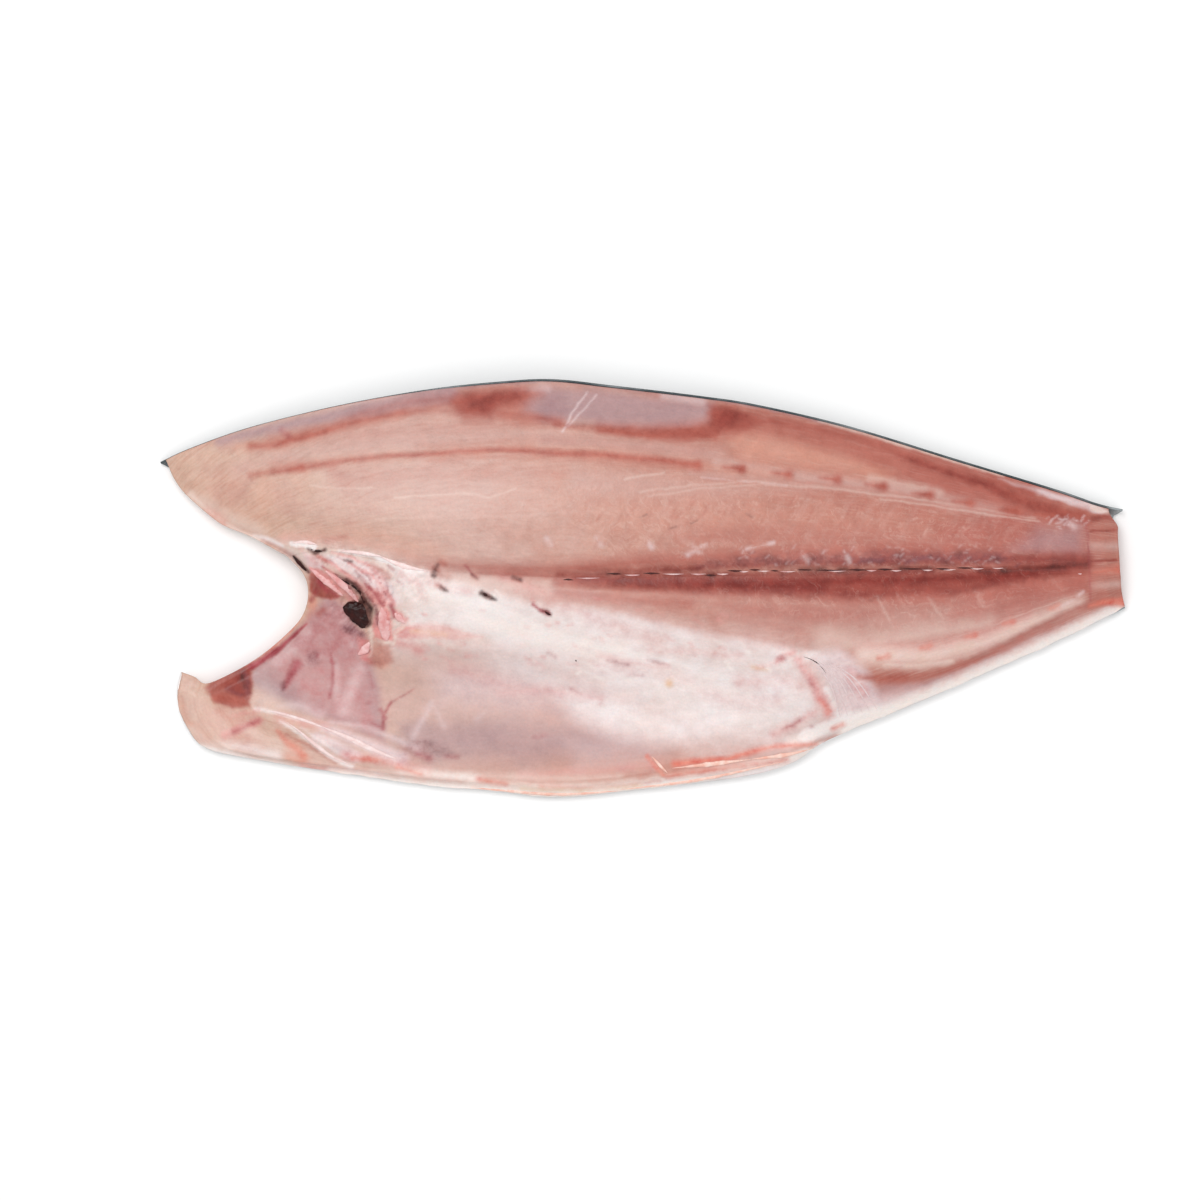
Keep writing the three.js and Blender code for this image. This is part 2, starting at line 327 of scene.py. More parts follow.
markings["warm"] = painted([  # at the nape, along the septum line and in the middle of the loin
    ([(285, 538), (320, 538), (355, 542), (390, 549), (420, 557)], 5, 14, 0.7),
    ([(378, 640), (386, 652), (384, 664)], 6, 10, 0.5),
    ([(205, 514), (235, 531), (262, 540)], (4, 3), 12, 0.5),
    ([(318, 533), (352, 532), (392, 541), (440, 556)], 7, 24, 0.4),
    (septumLine[1:14], 4, 16, 0.45),
    ([(236, 446), (284, 442), (318, 433), (352, 421), (404, 412)], (4, 6), 14, 0.5),
    ([(178, 700), (186, 722), (203, 740)], (2, 4), 9, 0.5),
], fills=[
    ([(192, 500), (215, 470), (262, 464), (300, 478), (300, 500), (280, 520), (246, 524), (215, 517)],
      44, 0.2),
    ([(620, 500), (720, 490), (860, 505), (960, 520), (940, 535), (820, 545), (700, 540), (600, 530)],
      50, 0.3),
    ([(722, 424), (780, 434), (840, 449), (900, 468), (880, 478), (800, 468), (740, 458)], 26, 0.8),
    ([(281, 740), (296, 742), (308, 760), (300, 766), (284, 760)], 9, 0.9),
    ([(308, 596), (315, 597), (317, 608), (312, 622), (304, 632), (300, 628), (307, 612)], 6, 1.0),
])
markings["deep"] = painted([  # on both sides of the bone line, under the back edge and by the belly loin
    *flecks((600, 494), (430, 52), 80, 73, (-8.0, 13.0), 1.0, 0.3),
    *flecks((700, 596), (300, 30), 40, 74, (8.0, 11.0), 1.0, 0.2),
    ([(330, 426), (380, 409), (430, 396)], (3, 6), 12, 0.5),
    (septumLine[2:12], (2.5, 4), 8, 0.5),
    ([(430, 566), (500, 569), (560, 570), (640, 562), (760, 556), (880, 552), (1000, 553), (1080, 555)],
      (3, 11), 24, 1.0),
    ([(560, 583), (700, 588), (860, 592), (1000, 586), (1080, 576)], (5, 16), 26, 1.0),
    ([(395, 559), (430, 565), (498, 571)], 3, 14, 0.5),
    ([(326, 541), (346, 537)], 2, 8, 0.5),
    ([(560, 592), (620, 599), (690, 603)], 7, 14, 0.7),
    ([(275, 468), (300, 466), (335, 465)], 5, 14, 0.5),
    ([(600, 598), (660, 608), (730, 618), (800, 630)], 5, 16, 0.4),
    ([(955, 617), (1000, 606), (1060, 591)], 8, 20, 0.6),
    ([(1100, 525), (1100, 605)], 10, 16, 0.2),
    ([(250, 447), (290, 440), (340, 427), (380, 415), (420, 405), (450, 399)], (4, 9), 15, 0.7),
    ([(420, 446), (520, 440), (620, 446), (700, 452)], (2, 4), 16, 0.25),
    ([(340, 478), (440, 474), (560, 474)], 6, 22, 0.22),
    ([(300, 440), (400, 430), (500, 426)], 6, 22, 0.28),
    ([(430, 460), (520, 456), (620, 462), (700, 470)], (3, 4), 10, 0.3),
    ([(548, 400), (556, 418)], 9, 18, 0.7),
    ([(600, 424), (640, 430), (704, 426)], (3, 8), 12, 0.9),
], fills=[
    ([(716, 408), (760, 413), (860, 437), (960, 470), (1060, 504), (1086, 516), (1060, 522), (1000, 514),
      (920, 484), (830, 448), (760, 430), (716, 436)], 22, 0.6),
    ([(930, 524), (1040, 520), (1050, 545), (1085, 556), (950, 556)], 24, 0.6),
    ([(670, 532), (760, 524), (890, 530), (900, 546), (760, 550), (680, 547)], 24, 0.4),
    ([(700, 602), (820, 604), (890, 612), (830, 624), (740, 618)], 20, 0.6),
    ([(498, 402), (545, 398), (562, 426), (520, 428), (492, 420)], 16, 0.6),
])
markings["mauve"] = painted([  # a grey violet sheen by the back edge, on the throat's wall and at the tail, and painted shade below the belly's dark band
    ([(218, 441), (250, 433), (300, 422), (350, 412), (400, 402), (450, 393)], (4, 9), 12, 0.9),
    ([(430, 391), (505, 383), (553, 381), (610, 387), (700, 397), (758, 406), (850, 427)], 1.6, 4, 0.7),
    # painted shade below the dark band by the belly edge
    ([(884, 687), (920, 687), (960, 674), (1000, 657)], (4, 1), 10, 0.45),
], fills=[
    ([(520, 396), (545, 386), (600, 389), (660, 396), (714, 403), (710, 420), (698, 424), (650, 427),
      (610, 425), (575, 422), (545, 419), (526, 412)], 20, 0.85),
    ([(385, 646), (440, 646), (520, 656), (590, 680), (610, 710), (640, 735), (600, 756), (520, 768),
      (440, 762), (400, 745), (378, 715)], 60, 0.18),
    ([(392, 742), (430, 722), (520, 720), (590, 728), (640, 738), (650, 750), (600, 758), (520, 764),
      (430, 758)], 36, 0.7),
    ([(244, 682), (252, 664), (276, 646), (298, 627), (316, 608), (322, 596), (330, 592), (345, 606),
      (365, 640), (380, 690), (385, 745), (340, 725), (300, 712)], 14, 0.9),
    ([(396, 724), (420, 718), (452, 732), (460, 758), (430, 764), (404, 750)], 20, 0.65),
    ([(1040, 528), (1083, 528), (1083, 554), (1010, 552)], 24, 0.55),
])
markings["lilac"] = painted([  # pale violet membranes by the vent, the neck and the belly edge
    ([(868, 704), (930, 694), (980, 673), (1040, 645), (1110, 614)], (9, 4), 18, 0.8),
    ([(316, 738), (334, 746), (354, 757)], 6, 8, 0.9),
    ([(276, 706), (300, 706), (318, 714)], (3, 5), 10, 0.5),
    ([(322, 728), (346, 737), (371, 748), (400, 760)], (4, 7), 9, 1.0),
    ([(328, 722), (362, 727), (391, 738), (418, 750)], (1.5, 3), 7, 0.7),
    ([(560, 655), (640, 680), (720, 700)], 14, 50, 0.5),
    ([(306, 634), (292, 650), (276, 664)], 4, 9, 0.5),
    ([(346, 628), (352, 650)], 5, 12, 0.4),
    ([(360, 668), (350, 690), (342, 710)], (4, 7), 12, 0.65),
    ([(336, 668), (336, 700)], 3, 8, 0.5),
    ([(431, 703), (411, 738)], 2.5, 9, 0.6),
    ([(431, 703), (443, 728)], 2, 8, 0.45),
    ([(502, 691), (477, 720)], 3, 12, 0.4),
    ([(396, 650), (470, 668), (520, 694)], 5, 30, 0.3),
    ([(587, 393), (572, 414), (563, 433)], (0.5, 1), 3, 0.9),
    ([(597, 395), (582, 412), (568, 427)], (0.4, 0.8), 3, 0.8),
    ([(1060, 518), (1082, 523)], 4, 9, 0.6),
    ([(664, 395), (702, 401)], 4, 8, 0.5),
    ([(516, 391), (546, 389)], 4, 10, 0.45),
], fills=[
    ([(808, 654), (838, 648), (862, 664), (876, 688), (894, 708), (866, 722), (842, 722), (830, 690)],
      14, 0.95),
    ([(252, 684), (264, 680), (277, 690), (280, 704), (266, 713), (250, 706)], 18, 0.3),
    ([(1000, 479), (1046, 489), (1100, 504), (1110, 510), (1104, 514), (1086, 509), (1060, 499),
      (1020, 487)], 5, 0.9),
    ([(560, 738), (620, 732), (680, 742), (650, 766), (580, 770)], 34, 0.35),
    ([(470, 660), (560, 668), (620, 690), (640, 720), (590, 730), (510, 715)], 70, 0.5),
    ([(430, 670), (500, 668), (580, 676), (650, 704), (700, 730), (660, 748), (610, 742), (560, 716),
      (490, 706), (440, 700)], 44, 0.7),
    ([(322, 555), (345, 556), (372, 566), (394, 584), (404, 602), (392, 606), (374, 592), (350, 574),
      (330, 564)], 8, 0.9),
    ([(303, 552), (318, 557), (324, 566), (314, 572), (308, 566)], 5, 0.9),
])
markings["pearl"] = painted([  # the white membrane over the belly cavity, its folds at the throat, and the belly edge's pale rim with painted glare
    ([(425, 586), (480, 604), (545, 632), (600, 648), (700, 668)], (12, 9), 18, 1.0),
    # these two lines: the belly edge's pale rim, whitened with painted glare
    ([(862, 727), (930, 706), (1000, 677), (1060, 649), (1118, 619)], (9, 7), 13, 0.9),
    ([(196, 747), (250, 762), (300, 772), (400, 787), (470, 795), (540, 799), (600, 797), (700, 783),
      (780, 768), (826, 748)], (3, 6), 9, 0.95),
    ([(252, 536), (266, 539), (282, 546)], (1.5, 2.5), 6, 0.85),
    ([(328, 556), (346, 563), (360, 573)], (0.8, 1.6), 3, 0.8),
    ([(346, 556), (364, 563), (380, 574)], (1, 2), 4, 0.8),
    *flecks((366, 574), (30, 26), 22, 37, (2.0, 2.0), 0.7, 0.9),
    ([(324, 557), (344, 569), (360, 583)], 0.9, 3, 0.9),
    ([(292, 544), (304, 545), (314, 548)], 3, 5, 1.0),
    ([(340, 551), (374, 556), (394, 565), (410, 572), (428, 573)], (2, 4), 5, 1.0),
    ([(806, 736), (840, 723), (876, 716)], 9, 12, 0.95),
    ([(384, 574), (404, 586), (430, 590)], (3, 7), 12, 0.8),
    ([(826, 690), (833, 706), (842, 722)], 5, 8, 0.85),
    ([(224, 746), (250, 750), (276, 757)], 4, 14, 0.6),
    ([(254, 709), (274, 713), (303, 720), (321, 727)], (2, 1.2), 5, 0.7),
    ([(280, 722), (297, 733), (311, 744), (329, 757), (350, 768)], (1.2, 2.5), 4, 0.8),
    ([(300, 728), (320, 742), (345, 758)], (0.8, 1.5), 4, 0.6),
], fills=[
    ([*membraneFoot, (812, 662), (824, 690), (832, 715), (820, 732), (780, 744), (720, 748), (690, 742),
      (650, 722), (606, 694), (545, 662), (490, 648), (440, 640), (398, 640), (398, 612), (396, 586),
      (384, 566)], 70, 0.95),
    ([(384, 563), *membraneTop[3:], (806, 668), (780, 676), (700, 668), (600, 648), (545, 642), (480, 632),
      (430, 618), (406, 606), (398, 586)], 16, 0.85),
    ([(690, 706), (720, 692), (780, 690), (822, 706), (820, 728), (760, 740), (710, 738)], 40, 0.95),
    ([(560, 692), (620, 694), (680, 712), (710, 738), (670, 746), (620, 734), (575, 714)], 36, 0.85),
    ([(450, 640), (540, 652), (590, 684), (560, 692), (500, 672)], 26, 0.5),
])
markings["pink"] = painted([  # torn tissue at the neck, and flushes in the membrane
    ([(575, 600), (620, 612), (690, 630), (780, 646)], (6, 5), 22, 0.15),
    ([(520, 588), (560, 604), (600, 620), (660, 642)], (6, 7), 22, 0.25),
    ([(600, 655), (630, 662), (668, 668)], 3, 10, 0.45),
    ([(776, 661), (783, 656), (792, 653)], 3, 8, 0.6),
    ([(798, 660), (806, 672), (814, 686), (820, 698), (828, 712)], (3, 5), 14, 0.8),
    ([(758, 668), (770, 664)], 2, 8, 0.4),
    ([(775, 735), (800, 722), (815, 712)], 3, 12, 0.5),
    ([(430, 582), (452, 590), (470, 592)], 3, 10, 0.35),
    ([(404, 576), (420, 584), (424, 596)], 4, 12, 0.35),
    ([(500, 574), (530, 588), (560, 600)], 4, 12, 0.35),
    ([(500, 692), (545, 690), (600, 700)], 3, 14, 0.35),
    ([(452, 668), (520, 690)], 4, 18, 0.25),
    ([(222, 736), (238, 729), (256, 722)], (5, 4), 9, 0.8),
    ([(318, 556), (336, 566), (352, 578), (366, 592)], (1.6, 2.4), 4, 0.8),
    ([(350, 564), (372, 576), (388, 592), (394, 604)], (1.6, 2.6), 5, 0.7),
    ([(332, 552), (350, 557), (370, 566)], (0.8, 1.6), 4, 0.7),
    ([(396, 634), (404, 629), (414, 628)], (3, 2.4), 7, 0.9),
    ([(600, 664), (660, 672), (690, 682)], 6, 18, 0.25),
    ([(740, 682), (800, 684)], 6, 18, 0.3),
    ([(374, 570), (384, 580)], 4, 10, 0.6),
    ([(398, 642), (420, 651)], 5, 12, 0.5),
    ([(278, 718), (300, 722), (324, 726)], 5, 12, 0.4),
    ([(850, 674), (863, 692)], 5, 12, 0.4),
    *flecks((420, 594), (300, 70), 46, 53, (9.0, 4.0), 1.3, 0.3),
    ([(230, 717), (246, 714), (256, 712)], 3, 9, 0.5),
    ([(300, 766), (340, 772), (380, 777)], 3, 9, 0.5),
    ([(344, 756), (380, 761), (426, 772)], 4, 10, 0.5),
    ([(520, 776), (600, 772), (660, 765)], 3, 12, 0.35),
    ([(396, 614), (405, 621)], 3.4, 6, 0.9),
    ([(700, 690), (740, 704), (780, 700)], 5, 22, 0.25),
    ([(866, 652), (930, 651), (985, 638), (1030, 620)], (10, 5), 20, 0.5),
    ([(650, 650), (700, 652), (740, 656)], 3, 12, 0.3),
], fills=[
    ([(308, 566), (318, 568), (330, 577), (341, 588), (346, 596), (338, 597), (324, 588), (310, 576)],
      4, 0.95),
    ([(322, 566), (336, 573), (350, 585), (361, 600), (352, 604), (340, 594), (330, 580)], 4, 0.8),
    ([(360, 584), (384, 590), (392, 604), (380, 612), (370, 600)], 8, 0.8),
    ([(300, 548), (310, 556), (322, 564), (312, 568)], 6, 0.35),
    ([(393, 641), (398, 632), (412, 625), (432, 623), (456, 629), (482, 637), (456, 640), (430, 638),
      (410, 640)], 7, 0.6),
    ([(262, 668), (300, 632), (330, 600), (360, 640), (378, 700), (380, 740), (320, 716)], 30, 0.36),
    ([(300, 640), (340, 600), (360, 640), (350, 660), (290, 660)], 20, 0.35),
    ([(190, 700), (240, 712), (250, 750), (215, 745)], 30, 0.2),
    ([(200, 704), (250, 715), (262, 745), (216, 740), (196, 725)], 24, 0.3),
    ([(355, 634), (366, 640), (373, 650), (370, 664), (358, 660)], 8, 0.8),
    ([(378, 611), (386, 606), (391, 613), (392, 630), (394, 643), (378, 641), (373, 636), (372, 624)],
      5, 1.0),
])
markings["cream"] = painted([  # fat, and thin pale lines in the flesh
    ([(1096, 507), (1113, 513)], 3, 5, 0.6),
    ([(820, 420), (842, 426.5), (893, 441), (944, 455.5), (1004, 474)], (1.2, 2.6), 4, 0.7),
    ([(640, 493), (690, 486), (745, 482), (837, 490), (916, 499), (969, 507), (1035, 518)], 0.6, 4, 0.35),
    ([(648, 498), (700, 489), (760, 485), (800, 488)], 0.5, 4, 0.35),
    ([(880, 499), (960, 510), (1040, 521)], 0.5, 4, 0.5),
    ([(826, 638), (862, 646), (905, 636), (950, 629), (990, 624)], (9, 4), 26, 0.5),
    ([(188, 494), (205, 510), (232, 528), (262, 542)], 3, 9, 0.8),
    ([(198, 500), (225, 518), (258, 531)], 6, 16, 0.5),
    ([(244, 730), (262, 740), (292, 753)], 5, 12, 0.4),
    ([(886, 664), (920, 665), (952, 661)], 4, 9, 0.7),
    ([(930, 663), (968, 655)], 4, 9, 0.5),
    ([(870, 478), (905, 484), (940, 492)], 3, 10, 0.35),
    ([(190, 730), (204, 742), (226, 750)], 5, 10, 0.5),
    ([(372, 771), (440, 776), (500, 778), (560, 779), (620, 777)], 3, 10, 0.45),
    ([(864, 654), (930, 656), (985, 643), (1030, 624), (1080, 603)], (10, 5), 20, 0.8),
    ([(838, 663), (880, 665), (930, 661), (985, 648)], 0.5, 4, 0.5),
    ([(425, 630), (451, 633), (480, 640)], (5, 3), 12, 0.35),
    ([(470, 783), (520, 787), (560, 789), (640, 784), (700, 775), (780, 762), (820, 750)], 4, 10, 0.7),
    ([(880, 647), (930, 643), (975, 632), (1020, 615), (1066, 599)], 0.5, 4, 0.45),
    ([(311, 486), (340, 489), (373, 488)], 0.5, 4, 0.4),
    ([(395, 498), (430, 496), (466, 494), (491, 498), (517, 489)], 0.6, 4, 0.5),
    ([(624, 480), (645, 476), (664, 474)], 0.6, 4, 0.5),
    ([(371, 630), (370, 640), (372, 650), (370, 656)], 1.5, 4, 0.8),
    ([(376, 640), (384, 643), (393, 644)], 1.8, 4, 1.0),
    ([(394, 642), (395, 634), (404, 627)], 1.2, 4, 0.8),
    ([(326, 550), (342, 551)], 0.8, 3, 0.7),
    ([(876, 594), (884, 612), (898, 634)], 0.5, 5, 0.4),
    ([(926, 596), (934, 608), (944, 620)], 0.5, 5, 0.35),
], fills=[
    ([(176, 676), (182, 674), (200, 692), (215, 715), (235, 735), (225, 750), (196, 738), (182, 712)],
      10, 0.25),
])
markings["rim"] = painted([  # the belly edge's white rim, its pale tissue with painted glare, and painted highlights on the membrane
    ([(330, 775), (400, 785), (440, 789), (490, 793), (555, 798), (640, 791), (700, 784)],
      (5, 8), 12, 1.0),
    ([(196, 750), (250, 765), (300, 775), (330, 778)], (3, 4), 8, 0.85),
    # painted highlights on the membrane, as are the flecks and the two lines after them
    ([(470, 616), (545, 638), (620, 650)], (9, 8), 26, 0.6),
    *flecks((402, 588), (120, 26), 24, 59, (8.0, 3.0), 0.9, 0.6),
    *flecks((560, 640), (220, 40), 26, 61, (9.0, 4.0), 1.2, 0.5),
    ([(400, 772), (440, 776), (476, 780)], 4, 12, 0.6),
    ([(850, 731), (880, 718), (930, 699), (980, 677), (1030, 654), (1080, 630), (1122, 610)],
      (11, 6), 15, 1.0),
    ([(425, 592), (470, 604), (500, 612)], 6, 22, 0.5),
    ([(560, 642), (640, 660), (720, 690)], 6, 26, 0.3),
    ([(690, 777), (740, 770), (790, 760), (820, 748)], (2, 4), 9, 0.7),
    ([(500, 789), (560, 790), (640, 786)], 3, 10, 0.5),
    ([(770, 764), (800, 757), (830, 746)], 3, 9, 0.7),
    ([(790, 744), (830, 728), (850, 722)], 4, 12, 0.7),
])
markings["redMuscle"] = painted([  # under the back edge, along the bone line, at both ends of the belly
    ([(372, 411), (407, 403), (440, 399), (470, 398)], (1, 8), 18, 0.45),
    ([(330, 425), (352, 417), (378, 409), (410, 402), (446, 398)], (1, 4), 14, 0.6),
    ([(484, 412), (520, 415), (560, 422)], (5, 2), 12, 0.7),
    ([(400, 413), (440, 411), (474, 412)], 4, 12, 0.45),
    ([(270, 437), (300, 432), (330, 427)], 4, 14, 0.45),
    ([(990, 481), (1034, 493)], 5, 12, 0.95),
    ([(486, 410), (512, 414)], 4, 10, 0.7),
    ([(480, 574), (520, 574), (560, 577)], (1.4, 3), 10, 0.6),
    (backDark, (3, 8), 16, 1.0),
    ([(720, 406), (780, 419), (850, 436)], (3, 5), 16, 0.45),
    ([(556, 577), (600, 580), (640, 581), (720, 583), (800, 584), (870, 585)], (3, 10), 16, 1.0),
    ([(870, 585), (940, 583), (980, 580), (1020, 573), (1061, 566), (1088, 563)], (11, 4), 15, 1.0),
    ([(600, 431), (650, 435), (690, 436), (714, 430)], (3, 8), 10, 0.95),
    ([(580, 569), (640, 570), (700, 568), (760, 564)], (2, 4), 9, 0.6),
    ([(740, 563), (820, 561), (900, 558), (990, 557)], (2, 7), 12, 0.6),
    ([(970, 559), (1020, 560), (1088, 561)], (4, 6), 14, 0.85),
    (bellyDark[:4], (1.2, 2), 8, 0.45),
    (bellyDark[3:], (2, 3.4), 9, 0.65),
    ([(1090, 519), (1118, 516)], (3, 4), 8, 0.75),
    ([(1092, 531), (1118, 529)], (1, 2), 5, 0.7),
    ([(1088, 562), (1119, 560)], 1.5, 4, 0.9),
    ([(1100, 594), (1121, 592)], (0.6, 1.6), 4, 0.5),
    ([(317, 614), (323, 610)], 2.6, 7, 0.7),
], fills=[
    ([(448, 398), (468, 389), (524, 386), (542, 394), (524, 406), (500, 411), (492, 420), (465, 420),
      (452, 411)], 20, 1.0),
    ([(710, 406), (726, 404), (752, 412), (772, 422), (752, 431), (728, 435), (708, 432)], 16, 1.0),
    ([(716, 412), (800, 428), (880, 452), (960, 478), (960, 486), (880, 466), (800, 446), (720, 430)],
      20, 0.45),
    ([(202, 688), (220, 676), (236, 668), (250, 663), (252, 684), (248, 708), (230, 709), (212, 703)],
      6, 0.95),
    ([(309, 571), (316, 574), (328, 586), (341, 597), (330, 600), (316, 597), (309, 592)], 4, 0.95),
])
markings["bloodRed"] = painted([  # the darkest red along the bone line and in the red muscle
    ([(575, 578), (640, 581), (720, 583), (800, 585), (870, 586)], (3.4, 12), 15, 1.0),
    ([(870, 586), (940, 584), (980, 580), (1020, 574), (1061, 567), (1088, 563)], (11, 5), 14, 1.0),
    ([(600, 574), (680, 575), (760, 576), (860, 575), (930, 572)], (2, 5), 10, 0.85),
    ([(980, 573), (1030, 573), (1070, 570)], (5, 4), 10, 0.9),
    ([(690, 567), (760, 565), (840, 563)], (1.6, 3), 10, 0.5),
    ([(830, 563), (920, 560), (990, 559), (1088, 560)], (3, 4.4), 12, 0.85),
    ([(560, 575), (640, 572), (700, 569)], (1.6, 4), 9, 0.7),
    ([(900, 455), (930, 466), (969, 478), (1008, 494), (1040, 506), (1068, 515)], (1.5, 4.5), 12, 0.8),
    ([(556, 425), (600, 428), (650, 433), (704, 433), (716, 430)], (1, 3), 9, 0.45),
    ([(975, 658), (1000, 646), (1040, 627)], 1.5, 9, 0.3),
    ([(1094, 519), (1110, 516)], 2, 6, 0.5),
    ([(1092, 531), (1117, 530)], 0.8, 4, 0.6),
    ([(1088, 561.5), (1118, 560.5)], 0.8, 4, 0.8),
], fills=[
    ([(464, 397), (500, 390), (526, 391), (520, 399), (502, 404), (490, 412), (472, 410)], 16, 0.6),
    ([(711, 410), (728, 408), (746, 415), (732, 425), (711, 430)], 16, 0.8),
    ([(220, 684), (238, 671), (250, 666), (250, 696), (240, 704), (228, 694)], 8, 0.9),
    ([(310, 572), (318, 577), (330, 589), (338, 598), (322, 598), (311, 594)], 5, 0.5),
])
markings["rust"] = painted([  # the septum line with its row of spots, and borders of the red muscle
    ([(250, 446), (270, 446), (286, 442)], (1, 3), 9, 0.7),
    ([(278, 443), (297, 438), (318, 434), (336, 428)], (2.4, 1.6), 8, 0.75),
    ([(334, 428), (352, 422), (376, 418), (404, 412)], (2, 1.4), 9, 0.6),
    (fasciaBorder, (1.2, 3), 9, 0.6),
    ([(700, 433), (714, 430), (718, 414)], 2, 9, 0.5),
    (septumLine[4:9], (0.9, 1.6), 7, 0.8),
    (septumLine[7:12], (1.6, 2.8), 8, 0.85),
    (septumLine[:5], (3, 1.2), 9, 0.6),
    ([(272, 473), (290, 470), (303, 468)], (0.5, 3.8), 8, 0.9),
    *[([(x - 16, y - 2), (x - 4, y - 0.5), (x + 2, y)], (0.4, 4.6), 9, 0.95) for x, y in septumSpots],
    *[spot(x - 1, y, 1.5, 6, 0.8) for x, y in septumSpots],
    ([(857, 677), (884, 679), (906, 677)], (2.5, 3), 8, 0.7),
    ([(214, 698), (240, 702)], 4, 7, 0.9),
    ([(216, 684), (230, 681)], 3, 8, 0.6),
    ([(372, 566), (382, 570), (390, 578)], (2, 3), 7, 0.6),
    ([(309, 578), (312, 590), (310, 600)], 2, 6, 0.6),
    ([(284, 735), (310, 748), (334, 764)], 1, 4, 0.6),
    *[([(x, y), (x + 4, y + 2)], 2.2, 7, 0.6) for x, y in [(435, 569), (438, 585), (486, 595), (516, 578),
     (474, 576), (543, 610), (442, 562)]],
    ([(1008, 493), (1040, 506), (1085, 517)], 3, 8, 0.5),
    ([(830, 588), (900, 590), (980, 584)], 4, 10, 0.45),
    ([(262, 540), (280, 549), (296, 558)], (1.5, 2.5), 6, 0.45),
    ([(314, 556), (326, 561)], 3, 9, 0.5),
    ([(430, 572), (448, 578)], 3, 10, 0.35),
    ([(378, 640), (383, 654)], 4, 10, 0.4),
    ([(360, 578), (380, 596)], 1.4, 5, 0.5),
], fills=[
    ([(372, 645), (390, 645), (392, 662), (380, 668), (366, 664)], 8, 0.55),
])
markings["coral"] = painted([  # the orange red seam by the belly edge, and spots in the belly loin
    *[([(x - 6, y + 1), (x + 3, y - 1)], (2.0, 3.2), 6, 0.45) for x, y in bellySpots],
    ([(820, 700), (826, 707), (829, 712)], (1, 2.4), 8, 0.55),
    ([(675, 765), (700, 762), (728, 760), (751, 753), (776, 747), (818, 745)], (3.2, 1.4), 8, 0.95),
    ([(647, 757), (655, 766), (664, 776)], 1.8, 5, 0.8),
    ([(668, 777), (712, 771), (746, 767)], 2.2, 9, 0.7),
    ([(478, 780), (505, 785)], 1.8, 9, 0.65),
    ([(540, 787), (580, 789), (620, 787), (660, 782)], 1, 9, 0.4),
    ([(740, 768), (770, 764), (788, 760)], 2.2, 9, 0.65),
    ([(1092, 606), (1106, 602), (1126, 602)], (1, 4.4), 7, 0.9),
    ([(1096, 572), (1119, 570)], (1, 4), 8, 0.6),
    ([(276, 731), (286, 743), (297, 752), (303, 757)], (1, 2.6), 8, 0.65),
    ([(396, 768), (420, 775)], 2, 7, 0.7),
    ([(351, 759), (376, 761)], 1.6, 6, 0.6),
    ([(834, 729), (843, 725)], 2.4, 7, 0.75),
    ([(206, 512), (222, 520)], 4, 12, 0.35),
    ([(383, 628), (384, 638)], 0.8, 4, 0.6),
    ([(300, 617), (286, 634), (270, 650), (254, 664)], (1, 2), 4, 0.4),
])
